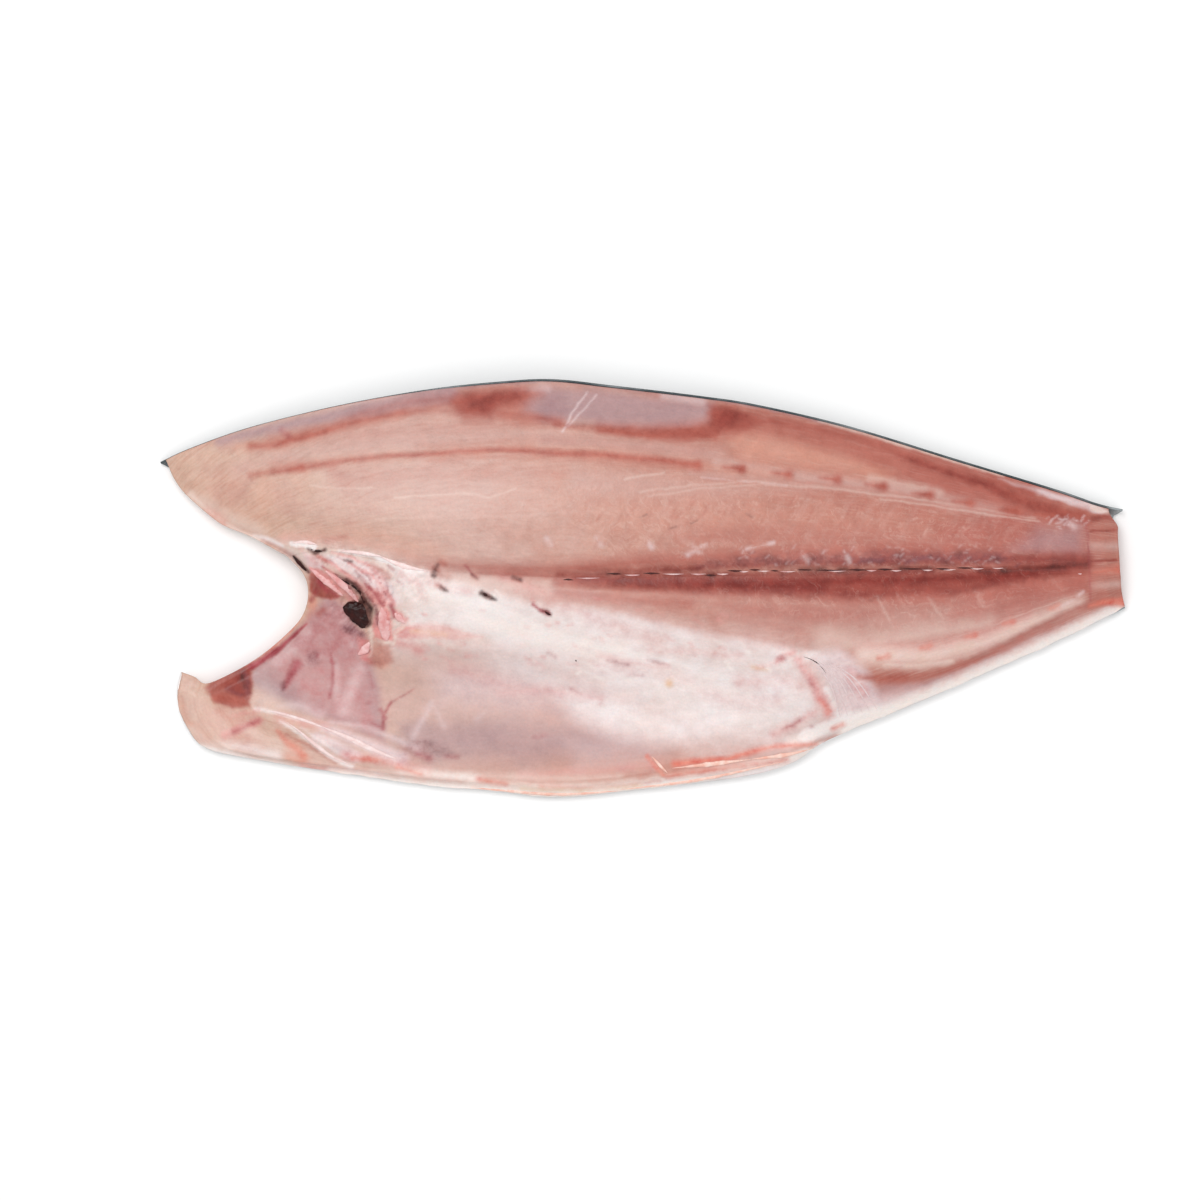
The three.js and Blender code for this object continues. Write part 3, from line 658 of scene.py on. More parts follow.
markings["crimson"] = painted([  # blood spots and small vessels
    ([(305, 624), (290, 638), (274, 652), (250, 667)], (1.2, 3.6), 4, 0.9),
    ([(296, 664), (290, 675), (283, 688)], (5, 2), 8, 0.8),
    ([(329, 654), (332, 665), (331, 686), (328, 698)], (0.7, 1.2), 4, 0.8),
    ([(330, 660), (332, 664)], 2, 5, 0.8),
    spot(316, 656, 2.4, 6, 0.7),
    ([(368, 673), (372, 688)], 0.8, 4, 0.6),
    spot(368, 704, 1.6, 6, 0.5),
    ([(390, 703), (382, 717), (382, 730)], (1.2, 1.0), 4, 0.9),
    ([(380, 710), (384, 719)], 1.6, 4, 0.8),
    ([(412, 690), (403, 696), (392, 702)], (0.5, 0.8), 4, 0.5),
    ([(371, 724), (382, 730)], 0.9, 4, 0.6),
    ([(416, 754), (428, 759)], 3.4, 9, 0.55),
    ([(446, 757), (456, 758)], 2, 8, 0.4),
    ([(535, 738), (545, 736)], 1.5, 7, 0.35),
    ([(548, 652), (556, 657)], 1.0, 6, 0.4),
    ([(571, 689), (580, 694)], 1.2, 6, 0.5),
    ([(608, 660), (628, 665)], 1.2, 7, 0.5),
    ([(648, 659), (668, 665)], 1.0, 7, 0.45),
    ([(629, 675), (642, 676)], 0.8, 6, 0.4),
    ([(783, 730), (792, 726), (801, 720)], (1.2, 2), 7, 0.55),
    spot(812, 727, 1.4, 5, 0.5),
    spot(781, 658, 3, 8, 0.5),
    ([(808, 680), (814, 690)], 1.4, 8, 0.5),
    ([(533, 604), (540, 610), (549, 614)], (1.6, 2), 4, 0.9),
    ([(466, 566), (476, 577)], 0.8, 4, 0.6),
    ([(232, 732), (247, 725), (258, 721)], (2.6, 1.6), 8, 0.55),
    ([(281, 430), (288, 436)], 2.5, 8, 0.4),
    ([(318, 581), (327, 591)], 2.4, 6, 0.7),
    ([(322, 566), (337, 575)], 0.8, 3, 0.8),
    ([(330, 560), (344, 570), (358, 580)], 0.5, 3, 0.6),
    ([(338, 557), (356, 566), (372, 580)], 0.4, 3, 0.5),
    ([(346, 578), (360, 586), (370, 596)], 0.8, 3, 0.6),
    *flecks((362, 578), (26, 26), 24, 31, (1.5, 3.0), 0.5, 0.9),
    ([(328, 589), (338, 597)], 1.2, 4, 0.7),
    ([(366, 584), (376, 594), (384, 606)], (1.2, 2), 5, 0.75),
    ([(356, 571), (370, 584)], 0.7, 4, 0.5),
    ([(391, 606), (395, 616)], 2.2, 5, 0.85),
    ([(311, 600), (316, 590)], 2, 7, 0.4),
    ([(389, 566), (394, 570)], 1.2, 5, 0.5),
    ([(398, 582), (404, 585)], 1, 5, 0.5),
    ([(1088, 520), (1089, 540), (1090, 566), (1092, 600)], 0.5, 3, 0.5),
], fills=[
    ([(292, 640), (318, 606), (334, 596), (352, 606), (364, 634), (354, 658), (298, 658)], 18, 0.24),
    ([(398, 746), (424, 746), (428, 762), (402, 764)], 10, 0.2),
])
markings["purple"] = painted([  # clotted vessels along the bone line and at the neck, and a painted shadow under the blood clot
    *flecks((735, 553), (285, 14), 24, 19, (5.0, -1.5), 1.2, 0.6),
    ([(736, 562), (800, 560), (880, 558), (1000, 557)], (4, 6), 12, 0.45),
    ([(770, 564), (785, 562)], 3, 8, 0.5),
    ([(861, 561), (880, 560)], 3.5, 7, 0.8),
    ([(907, 562), (928, 557)], 3.5, 8, 0.8),
    ([(700, 566), (760, 560), (800, 560)], 4, 12, 0.35),
    spot(311, 659, 7, 12, 0.55),
    ([(412, 742), (424, 741), (433, 747)], 1.4, 8, 0.6),
    ([(412, 744), (442, 751)], 6, 14, 0.25),
    ([(242, 672), (246, 680), (245, 694)], 2.6, 8, 0.55),
    ([(226, 690), (238, 696)], 2, 7, 0.5),
    ([(346, 584), (356, 590), (368, 600)], 4, 9, 0.45),
    # painted shadow under the blood clot's lower edge
    ([(344, 627), (352, 632), (362, 634)], 3.4, 8, 0.8),
    ([(376, 606), (378, 616), (377, 624)], 2, 5, 0.8),
    ([(282, 684), (281, 690)], 2, 5, 0.6),
])
markings["dark"] = painted([  # clots and holes
    ([(308, 549), (316, 553), (325, 550)], (1, 1.8), 4, 0.9),
    ([(294, 557), (300, 563), (308, 572)], (1.5, 2), 3, 0.9),
    ([(439, 565), (436, 569), (434, 575)], (1.4, 2.4), 6, 0.85),
    ([(442, 587), (448, 591)], 1.4, 5, 0.85),
    ([(482, 593), (487, 596), (496, 600)], (2.6, 0.6), 5, 0.9),
    ([(514, 577.5), (521, 580)], 1.6, 5, 0.85),
    ([(473, 575), (478, 579)], 1, 4, 0.7),
    ([(543, 611), (551, 615)], 1.4, 4, 0.7),
    ([(335, 574), (347, 580), (356, 585), (363, 594), (364, 602)], (1, 3.4), 5, 0.95),
    ([(240, 676), (243, 688)], 1.4, 6, 0.6),
    ([(345, 560), (353, 562)], 1.2, 4, 0.7),
    ([(838, 571), (856, 570)], 2, 6, 0.6),
    ([(800, 570), (824, 570)], 1.6, 5, 0.5),
    ([(608, 574), (622, 573)], 1.4, 5, 0.5),
    ([(640, 518), (646, 515)], 0.5, 3, 0.35),
    ([(690, 524), (697, 521)], 0.5, 3, 0.35),
    ([(745, 514), (751, 518)], 0.5, 3, 0.35),
    ([(668, 530), (675, 527)], 0.5, 3, 0.3),
    ([(704, 575), (716, 575)], 2.4, 6, 0.6),
    ([(900, 569), (930, 569)], 1.6, 5, 0.5),
    ([(982, 572), (1040, 569), (1088, 564)], (1.4, 2.4), 8, 0.5),
], fills=[
    ([(343, 605), (353, 601), (367, 600), (373, 607), (372, 624), (366, 629), (350, 619)], 4, 0.9),
])
markings["gold"] = painted([  # specks of yellow fat
    spot(669, 683, 4.0, 8, 0.7),
    ([(752, 667), (766, 670)], 1.2, 6, 0.45),
    ([(520, 790), (580, 792), (640, 787)], 1.5, 8, 0.4),
    ([(412, 631), (446, 635)], 2, 7, 0.35),
])
markings["frost"] = painted([  # pale flecks and scratches along the bone line
    *flecks((735, 546), (262, 20), 60, 7, (3.0, -1.4), 0.5, 0.3),
    *flecks((1046, 516), (42, 12), 22, 8, (3.0, -1.4), 0.5, 0.6),
    *[([(x - 2, y - 3), (x + 2, y + 3)], 1.8, 8, 0.55) for x, y in [(549, 542), (599, 542), (649, 545),
     (696, 550), (804, 559), (848, 560), (1074, 525)]],
    ([(687, 555), (696, 550), (704, 545)], 1.6, 8, 0.6),
    ([(746, 549), (760, 546), (773, 543)], 1, 6, 0.7),
    ([(1058, 609), (1074, 601), (1084, 592)], 1, 5, 0.5),
    ([(700, 478), (786, 486)], 0.5, 4, 0.4),
])
areas = {}  # where the flesh is plainer, and where its muscle blocks show
areas["wall"] = painted([], fills=[
    ([(318, 600), (400, 590), (470, 580), (575, 594), (680, 634), (800, 650), (830, 690), (830, 735),
      (700, 756), (560, 780), (400, 768), (300, 720), (250, 705), (280, 650)], 24, 1.0),
])
areas["loin"] = painted([], fills=[
    ([(560, 470), (700, 480), (860, 496), (1010, 522), (1070, 535), (1075, 580), (1010, 610), (930, 634),
      (850, 640), (760, 618), (690, 602), (640, 588), (600, 560), (560, 520)], 40, 1.0),
    ([(330, 500), (560, 490), (600, 560), (440, 555), (340, 530)], 50, 0.4),
])
neck = patch([(296, 545), (345, 545), (400, 565), (440, 575), (430, 600), (400, 640), (370, 660), (345, 640),
              (310, 600)], 30, 1.0)
relief = {  # millimetres that each marking stands up from the flesh, or sinks in
    "mauve": -0.1, "pearl": 0.3, "pink": 0.3, "cream": 0.3, "redMuscle": -0.2, "coral": 0.15, "purple": -0.1,
    "crimson": -0.15, "dark": -0.4, "gold": 0.2,
}
print("markings drawn")


def rgb(red, green, blue):  # a colour as it looks on screen, for a shader
    share = np.array([red, green, blue]) / 255
    linear = np.where(share <= 0.04045, share / 12.92, ((share + 0.055) / 1.055) ** 2.4)
    return (*linear.tolist(), 1.0)


def newMaterial(name):
    material = bpy.data.materials.new(name)
    material.use_nodes = True
    tree = material.node_tree
    return material, tree, tree.nodes["Principled BSDF"]


def addNode(tree, kind, inputs=None, **settings):
    node = tree.nodes.new(kind)
    for key, value in settings.items():
        setattr(node, key, value)
    for key, value in (inputs or {}).items():
        if isinstance(value, bpy.types.NodeSocket):
            tree.links.new(value, node.inputs[key])
        else:
            node.inputs[key].default_value = value
    return node


def setInputs(shader, finish):
    for name, value in finish.items():
        shader.inputs[name].default_value = value


def mixColours(tree, factor, under, over):
    return addNode(tree, "ShaderNodeMix", {0: factor, 6: under, 7: over}, data_type="RGBA").outputs[2]


def maths(tree, operation, a, b=0.0, c=0.0, clamp=False):
    inputs = {0: a, 1: b, 2: c}
    return addNode(tree, "ShaderNodeMath", inputs, operation=operation, use_clamp=clamp).outputs[0]


def times(tree, a, b):
    return maths(tree, "MULTIPLY", a, b)


def awayFrom(tree, value, middle):
    return maths(tree, "ABSOLUTE", maths(tree, "SUBTRACT", value, middle))


def remap(tree, value, low, high, to=(0.0, 1.0)):
    return addNode(tree, "ShaderNodeMapRange", {"Value": value, "From Min": low, "From Max": high,
                                                "To Min": to[0], "To Max": to[1]}).outputs[0]


noiseReach = (0.32, 0.68)  # where most of a noise's values lie


def noiseOn(tree, coordinates, scale, detail=4.0, roughness=0.6, stretch=(1.0, 1.0, 1.0)):
    mapping = addNode(tree, "ShaderNodeMapping", {"Vector": coordinates, "Scale": stretch})
    settings = {"Vector": mapping.outputs[0], "Scale": scale, "Detail": detail, "Roughness": roughness}
    return remap(tree, addNode(tree, "ShaderNodeTexNoise", settings).outputs["Fac"], *noiseReach)


def bumpOn(tree, height, distance, below=None, strength=1.0):
    inputs = {"Height": height, "Distance": distance, "Strength": strength}
    return addNode(tree, "ShaderNodeBump", {**inputs, "Normal": below} if below else inputs).outputs[0]


def attributeOn(tree, name):
    return addNode(tree, "ShaderNodeAttribute", attribute_name=name).outputs["Fac"]


def rampOn(tree, factor, stops):
    ramp = addNode(tree, "ShaderNodeValToRGB", {"Fac": factor})
    points = ramp.color_ramp.elements
    while len(points) < len(stops):
        points.new(0.5)
    for point, (at, colour) in zip(points, stops):
        point.position, point.color = at, colour
    return ramp.outputs["Color"]


fleshLook = {
    "alongColours": [(0.0, rgb(210, 172, 152)), (0.12, rgb(212, 176, 161)), (0.25, rgb(212, 174, 163)),
                     (0.4, rgb(204, 154, 139)), (0.55, rgb(191, 133, 118)), (0.75, rgb(186, 118, 104)),
                     (0.9, rgb(180, 107, 96)), (1.0, rgb(186, 120, 106))],
    "fibreLight": rgb(228, 198, 186),
    "fibreDark": rgb(174, 98, 84),
    "septum": rgb(222, 180, 168),
    # each marking: two colours it wanders between, how ragged its edge is, how far the flesh below shows
    # through it, and the noise that breaks it up
    "pale": (rgb(200, 157, 148), rgb(210, 173, 164), 0.15, 0.2, "mottle"),
    "warm": (rgb(214, 144, 122), rgb(216, 160, 142), 0.15, 0.15, "mottle"),
    "deep": (rgb(170, 88, 76), rgb(188, 108, 94), 0.15, 0.1, "mottle"),
    "mauve": (rgb(164, 131, 136), rgb(185, 153, 155), 0.15, 0.1, "mottle"),
    "lilac": (rgb(222, 196, 198), rgb(234, 212, 212), 0.2, 0.15, "cloud"),
    "pearl": (rgb(246, 238, 238), rgb(242, 228, 224), 0.15, 0.05, "mottle"),
    "pink": (rgb(220, 132, 130), rgb(232, 164, 158), 0.35, 0.1, "cloud"),
    "cream": (rgb(238, 208, 194), rgb(242, 224, 216), 0.35, 0.1, "cloud"),
    # the rim's colours: the belly edge's pale tissue with painted glare, and painted highlights on the
    # membrane
    "rim": (rgb(255, 246, 242), rgb(252, 236, 228), 0.25, 0.0, "cloud"),
    "redMuscle": (rgb(158, 72, 60), rgb(180, 98, 84), 0.25, 0.05, "mottle"),
    "bloodRed": (rgb(122, 34, 26), rgb(146, 52, 42), 0.3, 0.05, "cloud"),
    "rust": (rgb(166, 74, 60), rgb(186, 99, 83), 0.2, 0.05, "cloud"),
    "coral": (rgb(214, 92, 74), rgb(234, 140, 118), 0.4, 0.05, "cloud"),
    "crimson": (rgb(150, 36, 50), rgb(174, 66, 78), 0.3, 0.0, "cloud"),
    "purple": (rgb(100, 44, 48), rgb(148, 90, 98), 0.6, 0.1, "cloud"),
    "dark": (rgb(56, 20, 16), rgb(100, 40, 32), 0.5, 0.0, "cloud"),
    "gold": (rgb(238, 190, 134), rgb(236, 186, 142), 0.4, 0.1, "cloud"),
    "frost": (rgb(224, 192, 192), rgb(242, 222, 220), 0.8, 0.0, "cloud"),
    "septaInLength": 21.0,
    "septaMiddle": 0.066,
    "septaBend": 11.7,
    "septaWander": 0.5,  # as a share of the gap between two septa, as are the next two
    "slantWander": 0.9,
    "septaHalf": 0.13,
    "septaStrength": 0.3,
    "noises": {"cloud": {"scale": 150.0}, "mottle": {"scale": 48.0},
               "grain": {"scale": 800.0, "detail": 2.0, "roughness": 0.5}},
    "fibreNoise": {"scale": 34.0, "stretch": (1.0, 7.0, 1.0)},
    "slantNoise": {"scale": 3.0, "detail": 5.0, "roughness": 0.68, "stretch": (2.6, 22.0, 1.0)},
    "calmMiddle": {"at": 0.32, "low": 0.08, "high": 0.3, "to": (0.6, 1.0)},  # where fibres show less
    "fibreStrength": 0.32,
    "blotchStrength": 0.35,
    "streakStrength": 0.2,
    "grainShade": (0.97, 1.03),
    "cloudShade": (0.87, 0.97),
    "roughness": (0.34, 0.5),
    "bumps": {"fibre": 0.0001, "cloud": 0.00018, "grain": 0.00004},
    "finish": {"Specular IOR Level": 0.35, "Subsurface Weight": 0.1, "Subsurface Radius": (1.0, 0.4, 0.3),
               "Subsurface Scale": 0.002, "Coat Weight": 0.12, "Coat Roughness": 0.2},
}


def layerOn(tree, colour, name, noises):
    first, second, ragged, thin, kind = fleshLook[name]
    mask = attributeOn(tree, name)
    edge = times(tree, mask, maths(tree, "SUBTRACT", 1.0, mask))
    wander = maths(tree, "MULTIPLY_ADD", noises[kind], -4 * ragged, 2 * ragged)
    factor = maths(tree, "MULTIPLY_ADD", edge, wander, mask, clamp=True)
    solid = maths(tree, "MULTIPLY_ADD", noises["fibre"], -thin, 1.0)
    return mixColours(tree, times(tree, factor, solid), colour, mixColours(tree, noises[kind], first, second))


def septaOn(tree, phase, noises):  # the pale sheets between the blocks of muscle, cut across
    phase = maths(tree, "MULTIPLY_ADD", noises["mottle"], fleshLook["septaWander"], phase)
    line = remap(tree, awayFrom(tree, maths(tree, "FRACT", phase), 0.5), fleshLook["septaHalf"], 0.0)
    return times(tree, line, remap(tree, noises["mottle"], 0.3, 1.0))


def fleshMaterial():
    material, tree, shader = newMaterial("yellowtailFlesh")
    fish, flow = (addNode(tree, "ShaderNodeUVMap", uv_map=name).outputs[0] for name in ("fish", "flow"))
    place = addNode(tree, "ShaderNodeTexCoord").outputs["Object"]
    along, across, _ = addNode(tree, "ShaderNodeSeparateXYZ", {0: fish}).outputs
    bend = times(tree, awayFrom(tree, across, fleshLook["septaMiddle"]), -fleshLook["septaBend"])
    phase = maths(tree, "MULTIPLY_ADD", along, fleshLook["septaInLength"], bend)
    noises = {kind: noiseOn(tree, place, **texture) for kind, texture in fleshLook["noises"].items()}
    noises["fibre"] = noiseOn(tree, flow, **fleshLook["fibreNoise"])
    bent = maths(tree, "MULTIPLY_ADD", noises["mottle"], fleshLook["slantWander"], phase)
    slanting = addNode(tree, "ShaderNodeCombineXYZ", {0: bent, 1: across}).outputs[0]
    noises["slant"] = noiseOn(tree, slanting, **fleshLook["slantNoise"])
    wander = maths(tree, "MULTIPLY_ADD", noises["mottle"], 0.1, -0.05)
    colour = rampOn(tree, maths(tree, "ADD", along, wander), fleshLook["alongColours"])

    # fibres show most at both ends, little on the belly wall, and slant across the loin
    wall, loin = (attributeOn(tree, name) for name in areas)
    calm = fleshLook["calmMiddle"]
    stringy = remap(tree, awayFrom(tree, along, calm["at"]), calm["low"], calm["high"], calm["to"])
    stringy = maths(tree, "MULTIPLY_ADD", wall, -0.8, stringy)
    stringy = maths(tree, "MULTIPLY_ADD", loin, -0.5, stringy, clamp=True)
    strength = (0.0, fleshLook["fibreStrength"])
    for noise, amount in (("fibre", stringy), ("slant", loin)):
        for end, paint in ((1.1, "fibreLight"), (-0.1, "fibreDark")):
            shown = times(tree, remap(tree, noises[noise], 0.5, end, strength), amount)
            colour = mixColours(tree, shown, colour, fleshLook[paint])
    blotches = remap(tree, noises["mottle"], 0.45, 1.0, (0.0, fleshLook["blotchStrength"]))
    colour = mixColours(tree, times(tree, blotches, stringy), colour, fleshLook["fibreDark"])
    septa = times(tree, septaOn(tree, phase, noises), loin)
    for name in markings:
        colour = layerOn(tree, colour, name, noises)
        if name == "deep":
            shown = times(tree, septa, fleshLook["septaStrength"])
            colour = mixColours(tree, shown, colour, fleshLook["septum"])
    streaks = remap(tree, noises["slant"], 0.6, 1.1, (0.0, fleshLook["streakStrength"]))
    colour = mixColours(tree, times(tree, streaks, loin), colour, fleshLook["septum"])
    grain = remap(tree, noises["grain"], 0.0, 1.0, fleshLook["grainShade"])
    shade = times(tree, grain, remap(tree, noises["cloud"], 0.0, 1.0, fleshLook["cloudShade"]))
    colour = addNode(tree, "ShaderNodeVectorMath", {0: colour, 3: shade}, operation="SCALE").outputs[0]
    tree.links.new(colour, shader.inputs["Base Color"])

    rough = remap(tree, noises["cloud"], 0.0, 1.0, fleshLook["roughness"])
    tree.links.new(rough, shader.inputs["Roughness"])
    noises["fibre"] = times(tree, noises["fibre"], stringy)
    normal = None
    for kind, distance in fleshLook["bumps"].items():
        normal = bumpOn(tree, noises[kind], distance, normal)
    tree.links.new(normal, shader.inputs["Normal"])
    setInputs(shader, fleshLook["finish"])
    return material


def newObject(name, bm, material):
    mesh = bpy.data.meshes.new(name)
    bm.to_mesh(mesh)
    bm.free()
    mesh.materials.append(material)
    made = bpy.data.objects.new(name, mesh)
    bpy.context.scene.collection.objects.link(made)
    return made


def finishPiece(name, bm, material):
    piece = newObject(name, bm, material)
    piece.data.shade_smooth()
    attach(piece, "root")
    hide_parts("fillet")
    print("made", name, len(piece.data.polygons), "faces")
    return piece


def readLayer(mesh, name):
    values = np.zeros(len(mesh.vertices), np.float32)
    mesh.attributes[name].data.foreach_get("value", values)
    return values.astype(float)


def writeLayer(mesh, name, values):
    layer = mesh.attributes.get(name) or mesh.attributes.new(name, "FLOAT", "POINT")
    layer.data.foreach_set("value", values.astype(np.float32))


def writeUv(mesh, name, across):  # across holds two numbers for each vertex
    corner = np.zeros(len(mesh.loops), np.int32)
    mesh.loops.foreach_get("vertex_index", corner)
    layer = mesh.uv_layers.new(name=name)
    layer.data.foreach_set("uv", across[corner].astype(np.float32).ravel())


def writePlaces(mesh, place, height):
    mesh.vertices.foreach_set("co", (np.column_stack([place, height]) * mm).astype(np.float32).ravel())
    mesh.update()


def gridSheet(cellsAlong, cellsAcross):  # a grid whose vertices know their shares of the length and width
    bm = bmesh.new()
    bmesh.ops.create_grid(bm, x_segments=cellsAlong, y_segments=cellsAcross, size=1)
    alongLayer, acrossLayer = (bm.verts.layers.float.new(name) for name in ("along", "across"))
    for vert in bm.verts:
        vert[alongLayer], vert[acrossLayer] = (vert.co.x + 1) / 2, vert.co.y
    return bm


flesh = {
    "cells": (560, 160),  # in each half, along and across
    "halves": {"backFlesh": (0.0, 1.0), "bellyFlesh": (-1.0, 0.0)},
    "sideRings": 4,
    "lipStations": [0, 0.22, 0.32, 0.45, 0.6, 1],
    "lip": [0.3, 0.3, 0.9, 1.3, 1.1, 1.2],  # how much skin shows outside the flesh, along the back edge
    "napeTip": (3.0, 0.72),  # and past the cut at the tip of the nape, from this share of the width on
    "tailTip": (7.0, 0.7),  # and past the tail cut, by the back edge
    "bellyLip": 0.5,
    # relief: height, spacing along and across, and the noise's seed
    "swell": (0.35, 26.0, 26.0, 11),
    "fibres": (0.07, 22.0, 2.2, 17),
    "folds": (1.0, 9.9, 3.6, 23),  # torn tissue at the neck
    "wrinkles": (0.35, 17.5, 7.0, 29),  # the belly wall
    "calmEdge": (0.985, 0.8),  # from where to the edge the relief fades, and by how much
    "napeSweep": (0.27, 0.062),  # up to where the fibres sweep up towards the back, and how far
    "ripple": (0.0022, (9.0, 5.4)),  # how far the fibres wander, in lengths, and over how many millimetres
    "raggedEdge": (0.8, 6.0),  # how far the belly edge wanders, and over what length
    "halfWidth": 95,  # of the fillet, for textures that follow the fish
    "widthInLengths": 0.2,  # the same for the maps that the materials read
}
brushWander = {  # how the markings' edges wander, in pixels: the spacing, the reach and the noise's seed
    "right": [((9, 6), 2.2, 41), ((40, 30), 1.5, 51)],
    "down": [((9, 6), 1.8, 61), ((40, 30), 1.2, 71)],
    "broad": 0.6,
    "fine": 0.3,
    "fineLayers": ("crimson", "coral", "rust", "dark", "gold", "frost"),
}


def outerWidth(u, v):
    side = np.where(v >= 0, 1.0, -1.0)
    return np.hypot(*(planAt(u, side) - planAt(u, 0 * u)).T)


def lipAt(u, onBack):
    return np.where(onBack, np.interp(u, flesh["lipStations"], flesh["lip"]), flesh["bellyLip"])


def tuckIn(u, onBack, turn, width):  # how far a side that turns under comes in, at the ends and across
    undercut = np.where(onBack, backUndercut(u), bellyUndercut(u))
    inwards = 1 - np.cos(turn)
    return plan["cutLean"] * inwards, 1 - inwards * undercut / np.maximum(width, 2 * undercut)


def fleshPlaces(u, v):  # where the top sheet's points go on the plan, inside the skin's edge
    headIn, tailIn = (far * smooth(v, start, 1.0) for far, start in (flesh["napeTip"], flesh["tailTip"]))
    inner = mix(headIn, plan["drawnSpan"] - tailIn, u) / plan["drawnSpan"]
    width = outerWidth(u, v)
    far, length = flesh["raggedEdge"]
    wander = far * cloudNoise(u * plan["drawnSpan"] / length, 0 * u, 83) * smooth(-v, 0.9, 1.0)
    return inner, v * (1 - (lipAt(u, v >= 0) + wander) / width), width


def paintMasks(place):
    onPhoto = toPhoto(place)
    ragged = np.zeros(onPhoto.shape)
    for axis, way in enumerate(("right", "down")):
        for spacing, reach, seed in brushWander[way]:
            ragged[:, axis] += reach * cloudNoise(*(onPhoto / spacing).T, seed)
    masks = {}
    for name, marks in {**markings, **areas}.items():
        kind = "fine" if name in brushWander["fineLayers"] else "broad"
        where = onPhoto + ragged * brushWander[kind]
        masks[name] = np.max([mark(where) for mark in marks], axis=0)
    return masks


def waves(kind, x, y, octaves=3):
    high, along, across, seed = flesh[kind]
    return high * cloudNoise(x / along, y / across, seed, octaves)


def surfaceDetail(place, u, v, masks):
    x, y = place.T
    lengthwise, crosswise = u * plan["drawnSpan"], v * flesh["halfWidth"]
    folds = flesh["folds"][0] - 2 * np.abs(waves("folds", x + y, x - y))
    wall = np.clip(masks["mauve"] * (v < 0) + masks["pearl"], 0, 1)
    height = waves("swell", x, y) + waves("fibres", lengthwise, crosswise, 2)
    height += neck(toPhoto(place)) * folds + wall * waves("wrinkles", lengthwise, crosswise)
    return height + sum(relief.get(name, 0) * mask for name, mask in masks.items())


def makeFlesh(name, span, material):
    bm = gridSheet(*flesh["cells"])
    ringLayer = bm.verts.layers.float.new("ring")
    seam = 1.0 if span[1] == 0 else -1.0
    for edge in bm.edges:
        if edge.is_boundary and all(abs(vert.co.y - seam) < 1e-6 for vert in edge.verts):
            edge.smooth = False
    for ring in range(1, flesh["sideRings"] + 1):
        edges = [edge for edge in bm.edges if edge.is_boundary]
        grown = bmesh.ops.extrude_edge_only(bm, edges=edges)["geom"]
        for vert in grown:
            if isinstance(vert, bmesh.types.BMVert):
                vert[ringLayer] = ring
    bmesh.ops.contextual_create(bm, geom=[edge for edge in bm.edges if edge.is_boundary])
    piece = finishPiece(name, bm, material)
    mesh = piece.data
    u, v, ring = (readLayer(mesh, layer) for layer in ("along", "across", "ring"))
    v = mix(span[0], span[1], (v + 1) / 2)
    inner, outward, width = fleshPlaces(u, v)

    turn = ring / flesh["sideRings"] * np.pi / 2
    lean, narrowed = tuckIn(u, v >= 0, turn, width)
    place = planAt(np.clip(inner, lean, 1 - lean), outward * narrowed)
    masks = paintMasks(place)
    calmFrom, calm = flesh["calmEdge"]
    detail = surfaceDetail(place, u, v, masks) * (1 - smooth(np.abs(v), calmFrom, 1.0) * calm)
    height = topOfSolid(inner, outward) + detail
    height = np.maximum(height * (1 - np.sin(turn)), skin["thickness"])
    writePlaces(mesh, place, height)
    for layer, mask in masks.items():
        writeLayer(mesh, layer, mask)
    across = v * flesh["widthInLengths"]
    writeUv(mesh, "fish", np.column_stack([u, across]))
    reach, sweep = flesh["napeSweep"]
    far, spacing = flesh["ripple"]
    across += (v > 0) * sweep * (np.clip(reach - u, 0, 1) / reach) ** 2
    across += far * cloudNoise(*(place / spacing).T, 101)
    writeUv(mesh, "flow", np.column_stack([u, across]))
    return piece


skin = {
    "cells": (300, 110),
    "backShare": 0.24,  # share of the cells that go to the flank under the back edge
    "bellyShare": 0.12,
    "thickness": 1.1,
    "rimDrop": 1.2,  # how far the rim stays below the flesh where hardly any skin shows
    "colours": [(0.0, rgb(46, 58, 62)), (0.22, rgb(52, 66, 74)), (0.36, rgb(92, 108, 112)),
                (0.45, rgb(150, 150, 112)), (0.5, rgb(196, 178, 104)), (0.55, rgb(190, 192, 186)),
                (0.72, rgb(214, 216, 216)), (1.0, rgb(236, 230, 228))],
    "mottle": {"scale": 60.0, "roughness": 0.55},
    "streaks": {"scale": 4.0, "roughness": 0.55, "stretch": (3.0, 40.0, 1.0)},
    "streak": rgb(220, 226, 228),
    "tailEnd": rgb(150, 158, 160),
    "tailEndFrom": (0.982, 0.99),
    "scales": 620.0,  # in a metre
    "scaleBump": 0.0001,
    "finish": {"Metallic": 0.15, "Roughness": 0.3, "Coat Weight": 0.4, "Coat Roughness": 0.12},
}


